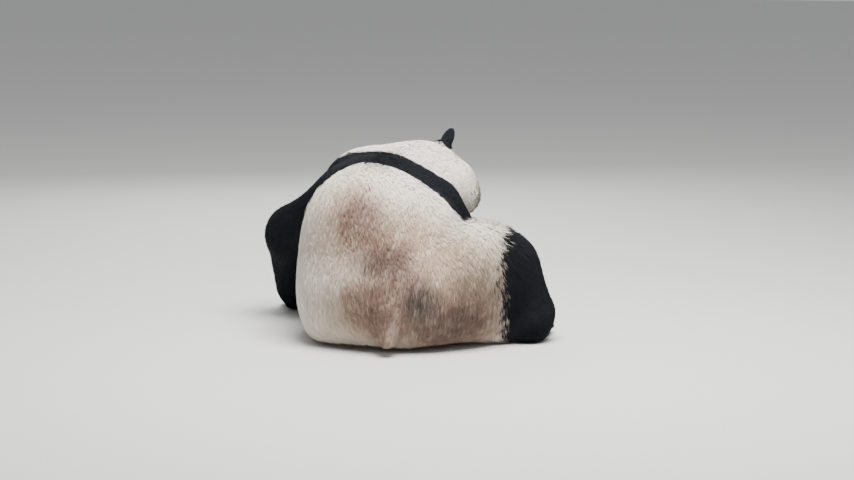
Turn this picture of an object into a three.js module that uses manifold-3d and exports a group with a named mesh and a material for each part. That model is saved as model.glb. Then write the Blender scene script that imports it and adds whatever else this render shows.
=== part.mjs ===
// A life-size giant panda that sits slumped forward on its rump, as a still museum model.
// Millimetres, +Z up. The animal faces -Y, its left side is +X, and the origin lies on the flat under its
// rump.
// The outer surface is the outline of the coat. The body is one smooth field, made of rounded masses that
// blend into each other, which is then parted by thin cuts into the pieces that a person would name.
import * as THREE from "three";
import Module from "manifold-3d";

const wasm = await Module();
wasm.setup();

// ---------------------------------------------------------------- driving dimensions

const PART_GAP = 0.5; // width of the cuts between neighbouring pieces
const LIMB_SLACK = 15; // how far a limb's cutting space stands off its own flesh
const FOOT_SLACK = 24; // the same round a paw or foot
const ROD_SIDES = 10;
const HEAD_CELL = 28; // sizes of the cells that the facets come from
const TRUNK_CELL = 61;
const SHOULDER_CELL = 57;
const LIMB_CELL = 54;
const FOOT_CELL = 27;
const TAIL_CELL = 25;
const TRUNK_BLEND = 88; // how far the masses of the trunk melt into each other
const LIMB_BLEND = 65; // fillet where a limb leaves the trunk
const JOINT_BLEND = 28; // fillet along a limb
const TOE_BLEND = 6.5; // fold between neighbouring toes
const FLOOR_BLEND = 35; // how softly the seat rounds off where it is pressed flat
const PAW_BLEND = 8; // the same under the paws
const HEAD_PITCH = 30; // degrees that the nose hangs below level
const HEAD_ROLL = 28; // degrees that the head tips towards the animal's left
const HEAD_YAW = -26; // degrees that the head turns, negative to the animal's right

const EYE_RADIUS = 11;
const EYE_DEPTH = 12; // how deep the middle of the eyeball lies under the coat
const EYE_SPREAD = 35; // from the middle of the head to the line of sight's start
const NOSE = { wide: 25, long: 15, high: 18, sunk: 5.6 }; // half sizes of the bare nose pad
const EAR = { wide: 43, thick: 16, high: 49, cup: 9.3 }; // half sizes of one round ear, and its hollow
const CLAW = { length: 35, radius: 6, hook: 8.5, rise: 3, rings: 2, sides: 5 };
const TOES = 5;
const BALL_SIDES = 10; // facets round an eye, an ear or the nose
const BALL_RINGS = 6;
const TWIN_PULL = 0.004; // share of the way that touching corners are drawn apart

const YOKE_WIDTH = 140; // of the black band over the shoulders
const YOKE_SETBACK = 22; // from the middle of the neck's root to the front of the band
const CHEST_REACH = 158; // how far the shoulders' piece runs on ahead of the band, round the neck

// A place given as distances to the animal's left, forwards and up.
const at = (left, forward, up) => new THREE.Vector3(left, -forward, up);

// ---------------------------------------------------------------- rounded masses and how they blend

// Signed distance to an ellipsoid, near enough for blending.
function egg(centre, halfSizes, turn = null) {
  const back = turn ? turn.clone().invert() : null;
  const local = new THREE.Vector3();
  const [a, b, c] = halfSizes;
  return (p) => {
    local.copy(p).sub(centre);
    if (back) local.applyQuaternion(back);
    const { x, y, z } = local;
    const inside = Math.hypot(x / a, y / b, z / c);
    const slope = Math.hypot(x / (a * a), y / (b * b), z / (c * c));
    return slope > 0 ? (inside * (inside - 1)) / slope : -Math.min(a, b, c);
  };
}

// Signed distance to a round bar whose radius changes evenly from one end to the other.
function bar(start, end, startRadius, endRadius) {
  const along = end.clone().sub(start);
  const lengthSquared = along.lengthSq();
  const local = new THREE.Vector3();
  return (p) => {
    local.copy(p).sub(start);
    const share = Math.min(1, Math.max(0, local.dot(along) / lengthSquared));
    local.addScaledVector(along, -share);
    return local.length() - (startRadius + share * (endRadius - startRadius));
  };
}

// The smaller of two distances, rounded over a width of blend.
function melt(a, b, blend) {
  const overlap = Math.max(blend - Math.abs(a - b), 0) / blend;
  return Math.min(a, b) - (overlap * overlap * blend) / 4;
}

// A field pressed flat against the floor, with a soft edge round the flat.
const press = (field, blend) => (p) => -melt(-field(p), p.z, blend);

// One field from several, each melted into the ones before it.
const meltAll = (blend, fields) => (p) => fields.reduce((sum, f) => melt(sum, f(p), blend), Infinity);

// ---------------------------------------------------------------- the trunk and neck

// Half sizes go left, forwards and up. The upper body leans to the animal's left, onto its left arm.
const trunkField = press(
  meltAll(TRUNK_BLEND, [
    egg(at(0, 0, 163), [296, 228, 223]), // rump, the seat
    egg(at(197, 42, 135), [132, 167, 193]), // left haunch
    egg(at(-236, 80, 180), [128, 162, 214]), // right haunch
    egg(at(104, 93, 321), [232, 209, 229]), // loin, the crest of the back
    egg(at(-67, 104, 307), [126, 177, 160]), // right flank
    egg(at(23, 153, 209), [181, 158, 177]), // belly
    egg(at(104, 237, 377), [203, 172, 172]), // rib cage
    egg(at(107, 307, 395), [200, 121, 160]), // withers and shoulder blades
  ]),
  FLOOR_BLEND,
);
const neckBase = at(100, 367, 409);
const neckTop = at(19, 507, 430);
const neckField = meltAll(56, [
  egg(at(150, 418, 431), [178, 110, 153]), // shoulders and mane
  bar(neckBase, neckTop, 153, 135),
  egg(at(50, 492, 496), [96, 106, 87]), // nape
]);
const tailRoot = at(0, -200, 140);
const tailTip = at(4, -234, 56);
const tailField = bar(tailRoot, tailTip, 43, 30);
const trunk = (p) => melt(melt(trunkField(p), neckField(p), 56), tailField(p), 23);

// ---------------------------------------------------------------- the head

const turnAbout = (x, y, z, degrees) =>
  new THREE.Quaternion().setFromAxisAngle(new THREE.Vector3(x, y, z), THREE.MathUtils.degToRad(degrees));
const headTurn = turnAbout(0, 0, 1, HEAD_YAW)
  .multiply(turnAbout(1, 0, 0, HEAD_PITCH))
  .multiply(turnAbout(0, 1, 0, HEAD_ROLL));
const headCentre = at(-13, 578, 435);
// A place on the head, from its middle: to its left, towards its nose and towards its crown.
const onHead = (left, forward, up) => at(left, forward, up).applyQuaternion(headTurn).add(headCentre);
const headward = (left, forward, up) => at(left, forward, up).applyQuaternion(headTurn).normalize();
const headEgg = (left, forward, up, halfSizes) => egg(onHead(left, forward, up), halfSizes, headTurn);
const sides = { left: 1, right: -1 };

const skullFields = [
  headEgg(0, -19, 19, [125, 121, 117]), // brain case under the thick crown
  headEgg(0, 54, 32, [89, 76, 78]), // forehead and brow
  ...Object.values(sides).map((side) => headEgg(side * 81, 2, -32, [86, 95, 87])), // cheek ruffs
  ...Object.values(sides).map((side) => headEgg(side * 92, 42, -72, [56, 64, 56])), // jowls
  ...Object.values(sides).map((side) => headEgg(side * 74, -16, 108, [36, 22, 26])), // roots of the ears
  headEgg(0, 28, -70, [80, 87, 56]), // throat and the root of the jaw
];
const muzzleFields = [
  bar(onHead(0, 86, -24), onHead(0, 141, -41), 61, 46), // bridge and upper jaw
  ...Object.values(sides).map((side) => headEgg(side * 22, 145, -56, [30, 32, 28])), // lip pads
  bar(onHead(0, 70, -76), onHead(0, 132, -84), 41, 25), // chin
];
const head = meltAll(32, [meltAll(41, skullFields), meltAll(19, muzzleFields)]);

// ---------------------------------------------------------------- the limbs

// A paw or foot: a rounded palm or sole, from its heel to its ball, with toes in a shallow arc.
function paw({ heel, forward, top, length, width, thickness, toeLength, toeRadius }) {
  const ahead = forward.clone().normalize();
  const across = ahead.clone().cross(top).normalize();
  const above = across.clone().cross(ahead).normalize();
  const spot = (along, sideways, rise) =>
    heel
      .clone()
      .addScaledVector(ahead, along)
      .addScaledVector(across, sideways)
      .addScaledVector(above, rise);
  const turn = new THREE.Quaternion().setFromRotationMatrix(
    new THREE.Matrix4().makeBasis(across, ahead, above),
  );
  const ball = egg(spot(length * 0.72, 0, 0), [width / 2, length * 0.34, thickness / 2], turn);
  const sole = bar(spot(0, 0, 0), spot(length * 0.7, 0, 0), thickness * 0.52, thickness * 0.5);
  const toes = Array.from({ length: TOES }, (_, i) => {
    const share = (2 * i) / (TOES - 1) - 1; // from -1 at one edge of the paw to 1 at the other
    const reach = length + toeLength * (1 - 0.55 * share * share);
    const spread = share * (width / 2 - toeRadius * 0.75);
    const root = spot(length * 0.78, spread * 0.8, 0);
    const tip = spot(reach, spread, -thickness * 0.14);
    const way = tip.clone().sub(root).normalize();
    return { root, tip, way, above, field: bar(root, tip, toeRadius, toeRadius * 0.9) };
  });
  const palm = meltAll(23, [ball, sole]);
  const allToes = meltAll(TOE_BLEND, toes.map((toe) => toe.field));
  const field = press((p) => melt(palm(p), allToes(p), 11), PAW_BLEND);
  const middle = (length + toeLength) / 2;
  const halfSizes = [width / 2, middle + thickness / 2, thickness / 2].map((half) => half + FOOT_SLACK);
  const space = (gap) => block(spot(middle, 0, 0), [across, ahead, above], halfSizes, gap);
  return { field, toes, space };
}

const FRONT_PAW = { length: 73, width: 125, thickness: 78, toeLength: 20, toeRadius: 17 };
const HIND_FOOT = { length: 149, width: 119, thickness: 86, toeLength: 20, toeRadius: 17 };
const UP = new THREE.Vector3(0, 0, 1);

// Bones give a joint's place, then the radius of the furred limb there.
const limbs = {
  arm_left: {
    bones: [
      [at(223, 290, 386), 123],
      [at(413, 389, 285), 96],
      [at(437, 523, 84), 67],
    ],
    names: ["upper_arm_left", "forearm_left", "paw_left"],
    paw: paw({ heel: at(439, 549, 33), forward: at(0.05, 1, 0), top: UP, ...FRONT_PAW }),
  },
  arm_right: {
    bones: [
      [at(-48, 302, 374), 123],
      [at(-156, 400, 223), 89],
      [at(-141, 528, 84), 67],
    ],
    names: ["upper_arm_right", "forearm_right", "paw_right"],
    paw: paw({ heel: at(-141, 554, 33), forward: at(-0.1, 1, 0), top: UP, ...FRONT_PAW }),
  },
  leg_left: {
    bones: [
      [at(153, 37, 181), 153],
      [at(234, 260, 197), 117],
      [at(191, 451, 91), 78],
    ],
    names: ["thigh_left", "shank_left", "foot_left"],
    // The heel rests on the floor and the toes point up, so the sole faces forwards.
    paw: paw({ heel: at(182, 510, 31), forward: at(0.1, 0.4, 0.9), top: at(0, -1, 0.4), ...HIND_FOOT }),
  },
  leg_right: {
    bones: [
      [at(-158, 37, 191), 153],
      [at(-310, 130, 222), 125],
      [at(-407, 104, 92), 84],
    ],
    names: ["thigh_right", "shank_right", "foot_right"],
    paw: paw({ heel: at(-409, 86, 37), forward: at(-0.03, 1, 0), top: UP, ...HIND_FOOT }),
    // The long coat round the heel and behind it.
    extra: meltAll(30, [egg(at(-402, 86, 56), [69, 69, 78]), egg(at(-335, 66, 48), [58, 60, 52])]),
  },
};

for (const limb of Object.values(limbs)) {
  const [root, bend, end] = limb.bones;
  limb.field = meltAll(JOINT_BLEND, [
    bar(root[0], bend[0], root[1], bend[1]),
    bar(bend[0], end[0], bend[1], end[1]),
    limb.paw.field,
    ...(limb.extra ? [press(limb.extra, FLOOR_BLEND)] : []),
  ]);
}

// The whole animal. Head and limbs melt into the trunk, and not into each other where they only touch.
function body(p) {
  const core = trunk(p);
  let nearest = melt(core, head(p), 51);
  for (const limb of Object.values(limbs)) {
    nearest = Math.min(nearest, melt(core, limb.field(p), LIMB_BLEND));
  }
  return nearest;
}

// ---------------------------------------------------------------- from a field to a closed mesh

const STEP = 0.5; // for slopes of a field by differences
const FLAT = 0.8; // what lies lower than this is on the floor

function slopeOf(field, p) {
  const q = p.clone();
  const slope = ["x", "y", "z"].map((axis) => {
    q[axis] = p[axis] + STEP;
    const ahead = field(q);
    q[axis] = p[axis] - STEP;
    const behind = field(q);
    q[axis] = p[axis];
    return (ahead - behind) / (2 * STEP);
  });
  return new THREE.Vector3(...slope);
}

// Moves p onto the field's zero surface in a few steps, each no longer than most.
function settle(field, p, most, rounds = 4) {
  for (let i = 0; i < rounds; i += 1) {
    const slope = slopeOf(field, p);
    const move = THREE.MathUtils.clamp(-field(p) / Math.max(slope.lengthSq(), 0.05), -most, most);
    p.addScaledVector(slope, move);
  }
  if (p.z < FLAT) p.z = 0;
  return p;
}

// Surface nets: one vertex for each cell of a grid that the surface crosses, and one quad for each edge of
// the grid.
function skinOf(field, box, cell) {
  const limits = (p) =>
    Math.max(
      field(p),
      box.min.x - p.x, p.x - box.max.x,
      box.min.y - p.y, p.y - box.max.y,
      box.min.z - p.z, p.z - box.max.z,
    );
  const size = box.getSize(new THREE.Vector3());
  const n = [size.x, size.y, size.z].map((length) => Math.ceil(length / cell) + 3);
  const origin = box.min.clone().addScalar(-cell * 1.37);
  const index = (i, j, k) => i + n[0] * (j + n[1] * k);
  const values = new Float64Array(n[0] * n[1] * n[2]);
  const p = new THREE.Vector3();
  for (let k = 0; k < n[2]; k += 1)
    for (let j = 0; j < n[1]; j += 1)
      for (let i = 0; i < n[0]; i += 1)
        values[index(i, j, k)] = limits(p.set(i, j, k).multiplyScalar(cell).add(origin));
  const steps = [1, n[0], n[0] * n[1]];
  const corners = Array.from({ length: 8 }, (_, c) => [c & 1, (c >> 1) & 1, c >> 2]);
  const places = [];
  const vertexOf = new Map();
  for (let k = 0; k < n[2] - 1; k += 1)
    for (let j = 0; j < n[1] - 1; j += 1)
      for (let i = 0; i < n[0] - 1; i += 1) {
        const middle = new THREE.Vector3();
        let crossings = 0;
        corners.forEach((c, a) =>
          [1, 2, 4].forEach((bit) => {
            if (a & bit) return;
            const d = corners[a | bit];
            const va = values[index(i + c[0], j + c[1], k + c[2])];
            const vb = values[index(i + d[0], j + d[1], k + d[2])];
            if (va < 0 === vb < 0) return;
            const share = va / (va - vb);
            crossings += 1;
            middle.x += i + c[0] + share * (d[0] - c[0]);
            middle.y += j + c[1] + share * (d[1] - c[1]);
            middle.z += k + c[2] + share * (d[2] - c[2]);
          }),
        );
        if (!crossings) continue;
        vertexOf.set(index(i, j, k), places.length);
        places.push(
          settle(limits, middle.multiplyScalar(cell / crossings).add(origin), cell * 0.3),
        );
      }
  const triangles = [];
  for (let k = 1; k < n[2] - 1; k += 1)
    for (let j = 1; j < n[1] - 1; j += 1)
      for (let i = 1; i < n[0] - 1; i += 1)
        steps.forEach((step, axis) => {
          const here = index(i, j, k);
          const inside = values[here] < 0;
          if (inside === values[here + step] < 0) return;
          const [u, v] = [steps[(axis + 1) % 3], steps[(axis + 2) % 3]];
          const quad = [here, here - u, here - u - v, here - v].map((cellAt) => vertexOf.get(cellAt));
          if (!inside) quad.reverse();
          const [a, b, c, d] = quad;
          const shortFirst = places[a].distanceTo(places[c]) < places[b].distanceTo(places[d]);
          triangles.push(...(shortFirst ? [a, b, c, a, c, d] : [a, b, d, b, c, d]));
        });
  return solidFrom(places.flatMap((q) => q.toArray()), triangles);
}

// A closed solid, its faces turned outwards.
function solidFrom(positions, triangles) {
  const make = (corners) =>
    new wasm.Manifold(
      new wasm.Mesh({
        numProp: 3,
        vertProperties: new Float32Array(positions),
        triVerts: new Uint32Array(corners),
      }),
    );
  const solid = make(triangles);
  return solid.volume() < 0 ? make([...triangles].reverse()) : solid;
}

// A three.js geometry as a solid, with its seams closed.
function solidOf(geometry) {
  const source = geometry.index ? geometry.toNonIndexed() : geometry;
  const positions = source.getAttribute("position").array;
  const known = new Map();
  const merged = [];
  const triangles = [];
  for (let i = 0; i < positions.length; i += 3) {
    const key = [0, 1, 2].map((k) => Math.round(positions[i + k] * 1e3)).join();
    if (!known.has(key)) {
      known.set(key, merged.length / 3);
      merged.push(positions[i], positions[i + 1], positions[i + 2]);
    }
    triangles.push(known.get(key));
  }
  const kept = [];
  for (let i = 0; i < triangles.length; i += 3) {
    const [a, b, c] = triangles.slice(i, i + 3);
    if (a !== b && b !== c && c !== a) kept.push(a, b, c);
  }
  return solidFrom(merged, kept);
}

// ---------------------------------------------------------------- the cuts between pieces

// A tapering round bar of space from start to end, run on past its end by the length after.
function rod(start, end, startRadius, endRadius, after, gap = 0) {
  const way = end.clone().sub(start);
  const length = way.length() + after + 2 * gap;
  way.normalize();
  const geometry = new THREE.CylinderGeometry(endRadius + gap, startRadius + gap, length, ROD_SIDES);
  geometry.applyQuaternion(new THREE.Quaternion().setFromUnitVectors(new THREE.Vector3(0, 1, 0), way));
  const middle = start.clone().addScaledVector(way, length / 2 - gap);
  return solidOf(geometry.translate(middle.x, middle.y, middle.z));
}

// A box of space with its own axes.
function block(centre, axes, halfSizes, gap = 0) {
  const [a, b, c] = halfSizes.map((half) => 2 * (half + gap));
  const turn = new THREE.Matrix4().makeBasis(...axes).setPosition(centre);
  return solidOf(new THREE.BoxGeometry(a, b, c).applyMatrix4(turn));
}

const headAxes = [headward(1, 0, 0), headward(0, -1, 0), headward(0, 0, 1)];

const earSpot = (side) => onHead(side * 101, -18, 121);
const earUp = (side) => headward(side * 0.62, -0.1, 0.8);
const earAhead = (side) => headward(side * 0.58, 0.8, 0);

// Each piece: its name, the space it is cut from, and the size of the cells of its mesh. Where two spaces
// overlap, the piece that comes first takes what they share.
const cuts = [];
const addCut = (name, space, cell, marking) => cuts.push({ name, space, cell, marking });

// How far along its first bone each limb leaves the trunk.
const rootShare = { arm_left: 0.3, arm_right: 0.35, leg_left: 0.62, leg_right: 0.78 };

for (const [key, limb] of Object.entries(limbs)) {
  const [root, bend, end] = limb.bones.map(([place]) => place);
  const slack = limb.extra ? 2 * LIMB_SLACK : LIMB_SLACK;
  const [rootRadius, bendRadius, endRadius] = limb.bones.map(([, radius]) => radius + slack);
  const start = root.clone().lerp(bend, rootShare[key]);
  addCut(limb.names[2], limb.paw.space, FOOT_CELL, "black");
  addCut(limb.names[1], (gap) => rod(bend, end, bendRadius, endRadius, 70, gap), LIMB_CELL, "black");
  const upperSpace = (gap) => rod(start, bend, rootRadius, bendRadius, bendRadius, gap);
  addCut(limb.names[0], upperSpace, LIMB_CELL, "black");
}
for (const [side, sign] of Object.entries(sides)) {
  const place = earSpot(sign);
  addCut(`ear_${side}`, (gap) => earSolid(place, sign, gap), 0, "black");
}
const headSpace = (gap) => block(onHead(0, 79, 0), headAxes, [232, 160, 219], gap);
addCut("head", headSpace, HEAD_CELL, "white");
const neckAhead = neckTop.clone().sub(neckBase).normalize();
const neckStart = neckBase.clone().addScaledVector(neckAhead, -YOKE_SETBACK);
const neckSpace = (gap) => rod(neckStart, neckTop, 232, 200, 84, gap);
addCut("neck", neckSpace, SHOULDER_CELL, "white");
const tailStart = tailRoot.clone().lerp(tailTip, 0.3);
const tailSpace = (gap) => rod(tailStart, tailTip, 48, 42, 65, gap);
addCut("tail", tailSpace, TAIL_CELL, "white");
const yokeAhead = at(-0.36, 0.93, 0.1).normalize();
const yokeLeft = yokeAhead.clone().cross(UP).normalize().negate();
const yokeAxes = [yokeLeft, yokeAhead, yokeLeft.clone().cross(yokeAhead)];
const yokeLength = YOKE_WIDTH + CHEST_REACH;
const yokeReach = CHEST_REACH - YOKE_SETBACK - yokeLength / 2;
const yokeMiddle = neckBase.clone().addScaledVector(yokeAhead, yokeReach);
const shoulderSpace = (gap) => block(yokeMiddle, yokeAxes, [391, yokeLength / 2, 307], gap);
addCut("shoulders", shoulderSpace, SHOULDER_CELL, "black");

// ---------------------------------------------------------------- ears, eyes, nose and claws

// One ear: a round, slightly cupped disc that stands on the side of the crown.
function earSolid(place, side, gap) {
  const up = earUp(side);
  const across = new THREE.Vector3().crossVectors(earAhead(side), up).normalize();
  const ahead = new THREE.Vector3().crossVectors(up, across).normalize();
  const geometry = new THREE.SphereGeometry(1, BALL_SIDES, BALL_RINGS);
  const positions = geometry.getAttribute("position");
  for (let i = 0; i < positions.count; i += 1) {
    const [x, y, z] = [positions.getX(i), positions.getY(i), positions.getZ(i)];
    const cup = z > 0 ? EAR.cup * (1 - x * x - y * y) : 0; // hollows the front
    const spot = place
      .clone()
      .addScaledVector(across, x * (EAR.wide + gap))
      .addScaledVector(up, y * (EAR.high + gap))
      .addScaledVector(ahead, z * (EAR.thick + gap) - cup);
    positions.setXYZ(i, spot.x, spot.y, spot.z);
  }
  return solidOf(geometry);
}

function ball(centre, radius, gap = 0) {
  const geometry = new THREE.SphereGeometry(radius + gap, BALL_SIDES, BALL_RINGS);
  return solidOf(geometry.translate(centre.x, centre.y, centre.z));
}

// Where a line from start in direction way leaves the animal.
function surfaceAlong(field, start, way) {
  const p = start.clone();
  while (field(p) < -0.05) p.addScaledVector(way, Math.max(0.05, -field(p) * 0.7));
  return p;
}

// Each eye looks ahead, a little outwards and up.
const eyeAhead = (side) => headward(side * 0.36, 1, 0.08);

function eyeCentre(side) {
  const way = eyeAhead(side);
  return surfaceAlong(body, onHead(side * EYE_SPREAD, 37, 5.5), way).addScaledVector(way, -EYE_DEPTH);
}

// The hollow between the lids, which opens outwards from the eyeball.
function eyeSocket(side) {
  const centre = eyeCentre(side);
  const way = eyeAhead(side);
  const depth = EYE_DEPTH + 2 * EYE_RADIUS;
  const geometry = new THREE.CylinderGeometry(2.5 * EYE_RADIUS, 0.86 * EYE_RADIUS, depth, BALL_SIDES);
  geometry.applyQuaternion(new THREE.Quaternion().setFromUnitVectors(new THREE.Vector3(0, 1, 0), way));
  const middle = centre.clone().addScaledVector(way, depth / 2);
  return solidOf(geometry.translate(middle.x, middle.y, middle.z));
}

// The bare nose pad, broad at the top and narrow at the lip.
const noseAhead = headward(0, 1, 0);
const noseTip = surfaceAlong(body, onHead(0, 93, -28), noseAhead);
const nosePlace = noseTip.clone().addScaledVector(noseAhead, -NOSE.sunk);
function noseSolid(gap) {
  const geometry = new THREE.SphereGeometry(1, BALL_SIDES, BALL_RINGS);
  const positions = geometry.getAttribute("position");
  for (let i = 0; i < positions.count; i += 1) {
    const [x, y, z] = [positions.getX(i), positions.getY(i), positions.getZ(i)];
    const taper = 0.72 + 0.28 * Math.sin((Math.PI / 2) * Math.max(-1, Math.min(1, z * 1.6)));
    const spot = at(x * (NOSE.wide + gap) * taper, -y * (NOSE.long + gap), z * (NOSE.high + gap));
    spot.applyQuaternion(headTurn).add(nosePlace);
    positions.setXYZ(i, spot.x, spot.y, spot.z);
  }
  return solidOf(geometry);
}

// One claw: rings of shrinking radius along an arc that hooks away from the top of the toe.
function clawSolid({ tip, way, above }, gap) {
  const { length, radius: rootRadius, hook, rise, rings, sides: around } = CLAW;
  const across = new THREE.Vector3().crossVectors(way, above).normalize();
  const positions = [];
  const triangles = [];
  const ringPoint = (ring, turn) => {
    const share = ring / rings;
    const radius = rootRadius * (1 - 0.82 * share) + gap;
    const angle = (2 * Math.PI * turn) / around;
    return tip
      .clone()
      .addScaledVector(way, share * length + (ring ? gap : -gap))
      .addScaledVector(above, rise - hook * share * share + radius * Math.sin(angle) * 1.15)
      .addScaledVector(across, radius * Math.cos(angle) * 0.8);
  };
  for (let ring = 0; ring < rings; ring += 1)
    for (let turn = 0; turn < around; turn += 1) positions.push(...ringPoint(ring, turn).toArray());
  const hub = around * rings;
  positions.push(...tip.clone().addScaledVector(way, -gap).addScaledVector(above, rise).toArray());
  const point = tip.clone().addScaledVector(way, length + gap).addScaledVector(above, rise - hook);
  positions.push(...point.toArray());
  for (let turn = 0; turn < around; turn += 1) {
    const next = (turn + 1) % around;
    triangles.push(hub, next, turn);
    for (let ring = 0; ring < rings - 1; ring += 1) {
      const [a, b] = [ring * around + turn, ring * around + next];
      triangles.push(a, b, b + around, a, b + around, a + around);
    }
    const [a, b] = [(rings - 1) * around + turn, (rings - 1) * around + next];
    triangles.push(a, b, hub + 1);
  }
  return solidFrom(positions, triangles);
}

// ---------------------------------------------------------------- materials and assembly

const materials = {
  white: new THREE.MeshStandardMaterial({ color: 0xd9cfc0, roughness: 0.95, metalness: 0 }),
  black: new THREE.MeshStandardMaterial({ color: 0x17181c, roughness: 0.95, metalness: 0 }),
  nose: new THREE.MeshStandardMaterial({ color: 0x141214, roughness: 0.45, metalness: 0 }),
  eye: new THREE.MeshStandardMaterial({ color: 0x1d1009, roughness: 0.1, metalness: 0 }),
  claw: new THREE.MeshStandardMaterial({ color: 0x3a342e, roughness: 0.5, metalness: 0 }),
};

const panda = new THREE.Group();

// Where two folds of a mesh only touch, their corners share a place. Each is drawn a little into its own
// fold, towards the middle of the corners around it.
function partTwins(positions, triangles) {
  const middles = new Float64Array(positions.length);
  const counts = new Float64Array(positions.length / 3);
  for (let i = 0; i < triangles.length; i += 3)
    for (const [here, there] of [[0, 1], [1, 2], [2, 0]]) {
      const [a, b] = [triangles[i + here], triangles[i + there]];
      counts[a] += 1;
      for (let k = 0; k < 3; k += 1) middles[3 * a + k] += positions[3 * b + k];
    }
  const places = Array.from(counts, (_, i) =>
    [0, 1, 2].map((k) => Math.round(positions[3 * i + k] * 1e3)).join(),
  );
  const tally = new Map();
  for (const place of places) tally.set(place, (tally.get(place) ?? 0) + 1);
  places.forEach((place, i) => {
    if (tally.get(place) === 1) return;
    for (let k = 0; k < 3; k += 1) {
      const pull = middles[3 * i + k] / counts[i] - positions[3 * i + k];
      positions[3 * i + k] += TWIN_PULL * pull;
    }
  });
}

// The largest closed body of a solid, as a named mesh in the group.
function addPiece(name, solid, material) {
  const [largest] = solid.decompose().sort((a, b) => b.volume() - a.volume());
  const mesh = largest.getMesh();
  const geometry = new THREE.BufferGeometry();
  const positions = new Float32Array(mesh.numVert * 3);
  for (let i = 0; i < mesh.numVert; i += 1)
    for (let k = 0; k < 3; k += 1) positions[3 * i + k] = mesh.vertProperties[i * mesh.numProp + k];
  partTwins(positions, mesh.triVerts);
  geometry.setAttribute("position", new THREE.BufferAttribute(positions, 3));
  geometry.setIndex(new THREE.BufferAttribute(mesh.triVerts, 1));
  geometry.computeVertexNormals();
  const piece = new THREE.Mesh(geometry, materials[material]);
  piece.name = name;
  panda.add(piece);
}

const eyes = Object.entries(sides).map(([side, sign]) => [`eye_${side}`, eyeCentre(sign), sign]);
const claws = Object.values(limbs).flatMap((limb) =>
  limb.paw.toes.map((toe, i) => [`claw_${limb.names[2]}_${i + 1}`, toe]),
);

const BODY_BOX = new THREE.Box3(
  new THREE.Vector3(-600, -840, -55),
  new THREE.Vector3(600, 370, 700),
);
const MARGIN = 28; // of the field's box around a piece's space

// What earlier pieces have taken, with the gap round it.
const taken = [];
for (const { name, space, cell, marking } of cuts) {
  const region = space(0);
  let solid;
  if (cell) {
    const { min, max } = region.boundingBox();
    const box = new THREE.Box3(new THREE.Vector3(...min), new THREE.Vector3(...max))
      .expandByScalar(MARGIN)
      .intersect(BODY_BOX);
    solid = skinOf(body, box, cell).intersect(region);
  } else {
    solid = region;
  }
  solid = taken.reduce((left, other) => left.subtract(other), solid);
  if (name === "head") {
    solid = solid.subtract(noseSolid(PART_GAP));
    for (const [, centre, sign] of eyes)
      solid = solid.subtract(eyeSocket(sign)).subtract(ball(centre, EYE_RADIUS, PART_GAP));
  }
  for (const [clawName, toe] of claws)
    if (clawName.startsWith(`claw_${name}_`)) solid = solid.subtract(clawSolid(toe, PART_GAP));
  addPiece(name, solid, marking);
  taken.push(space(PART_GAP));
}
const rest = taken.reduce((left, other) => left.subtract(other), skinOf(body, BODY_BOX, TRUNK_CELL));
addPiece("trunk", rest, "white");
addPiece("nose", noseSolid(0), "nose");
for (const [name, centre] of eyes) addPiece(name, ball(centre, EYE_RADIUS), "eye");
for (const [name, toe] of claws) addPiece(name, clawSolid(toe, 0), "claw");

export default panda;
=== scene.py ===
# %% [markdown]
# # A giant panda, life-size and still
# A museum panda has three layers that matter to the eye: a body with weight in it, a skin that folds round
# the eyes, lips and pads, and a deep coat that hides most of both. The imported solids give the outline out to
# the tips of the coat. This script adds the skin inside them, the coat between the two, and the fine eyes,
# nose, lips, pads and claws.

# %% Load the frame
import math

import bmesh
import bpy
import numpy as np
from mathutils import Matrix, Vector


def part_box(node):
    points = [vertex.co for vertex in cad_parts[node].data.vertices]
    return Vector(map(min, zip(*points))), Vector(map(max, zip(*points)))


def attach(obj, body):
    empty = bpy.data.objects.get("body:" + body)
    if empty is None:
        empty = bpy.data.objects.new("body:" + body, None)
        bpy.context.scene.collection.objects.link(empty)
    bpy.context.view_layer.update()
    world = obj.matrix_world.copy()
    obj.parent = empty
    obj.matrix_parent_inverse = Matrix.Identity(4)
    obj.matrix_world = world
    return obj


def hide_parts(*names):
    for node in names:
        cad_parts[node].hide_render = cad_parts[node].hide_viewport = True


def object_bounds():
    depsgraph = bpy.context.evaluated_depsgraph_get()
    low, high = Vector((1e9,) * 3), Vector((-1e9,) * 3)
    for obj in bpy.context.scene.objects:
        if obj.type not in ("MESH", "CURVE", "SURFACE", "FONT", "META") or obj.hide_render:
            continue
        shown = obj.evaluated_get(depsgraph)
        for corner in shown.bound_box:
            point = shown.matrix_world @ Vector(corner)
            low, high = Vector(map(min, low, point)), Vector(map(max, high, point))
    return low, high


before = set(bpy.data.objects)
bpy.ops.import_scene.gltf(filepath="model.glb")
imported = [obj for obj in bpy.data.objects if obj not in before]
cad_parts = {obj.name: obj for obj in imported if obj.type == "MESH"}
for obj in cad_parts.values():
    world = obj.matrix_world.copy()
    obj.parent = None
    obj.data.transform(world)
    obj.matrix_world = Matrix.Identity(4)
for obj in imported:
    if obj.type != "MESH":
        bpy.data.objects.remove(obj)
cad_box = [list(corner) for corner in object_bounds()]
random = np.random.default_rng(20)
print("nodes:", len(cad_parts), "box:", np.round(cad_box, 3).tolist())


def to_scene(name, data):
    """An object in the scene, from its data."""
    thing = bpy.data.objects.new(name, data)
    bpy.context.scene.collection.objects.link(thing)
    return thing


# %% [markdown]
# ## The camera
# The camera stands behind the animal, a little to its left and a little above it, as a visitor would who
# looks over a low wall. A long lens from far away keeps the near rump and the far head in true proportion,
# so the camera is placed by its distance, and the lens is worked out from the width that the picture covers.

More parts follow.
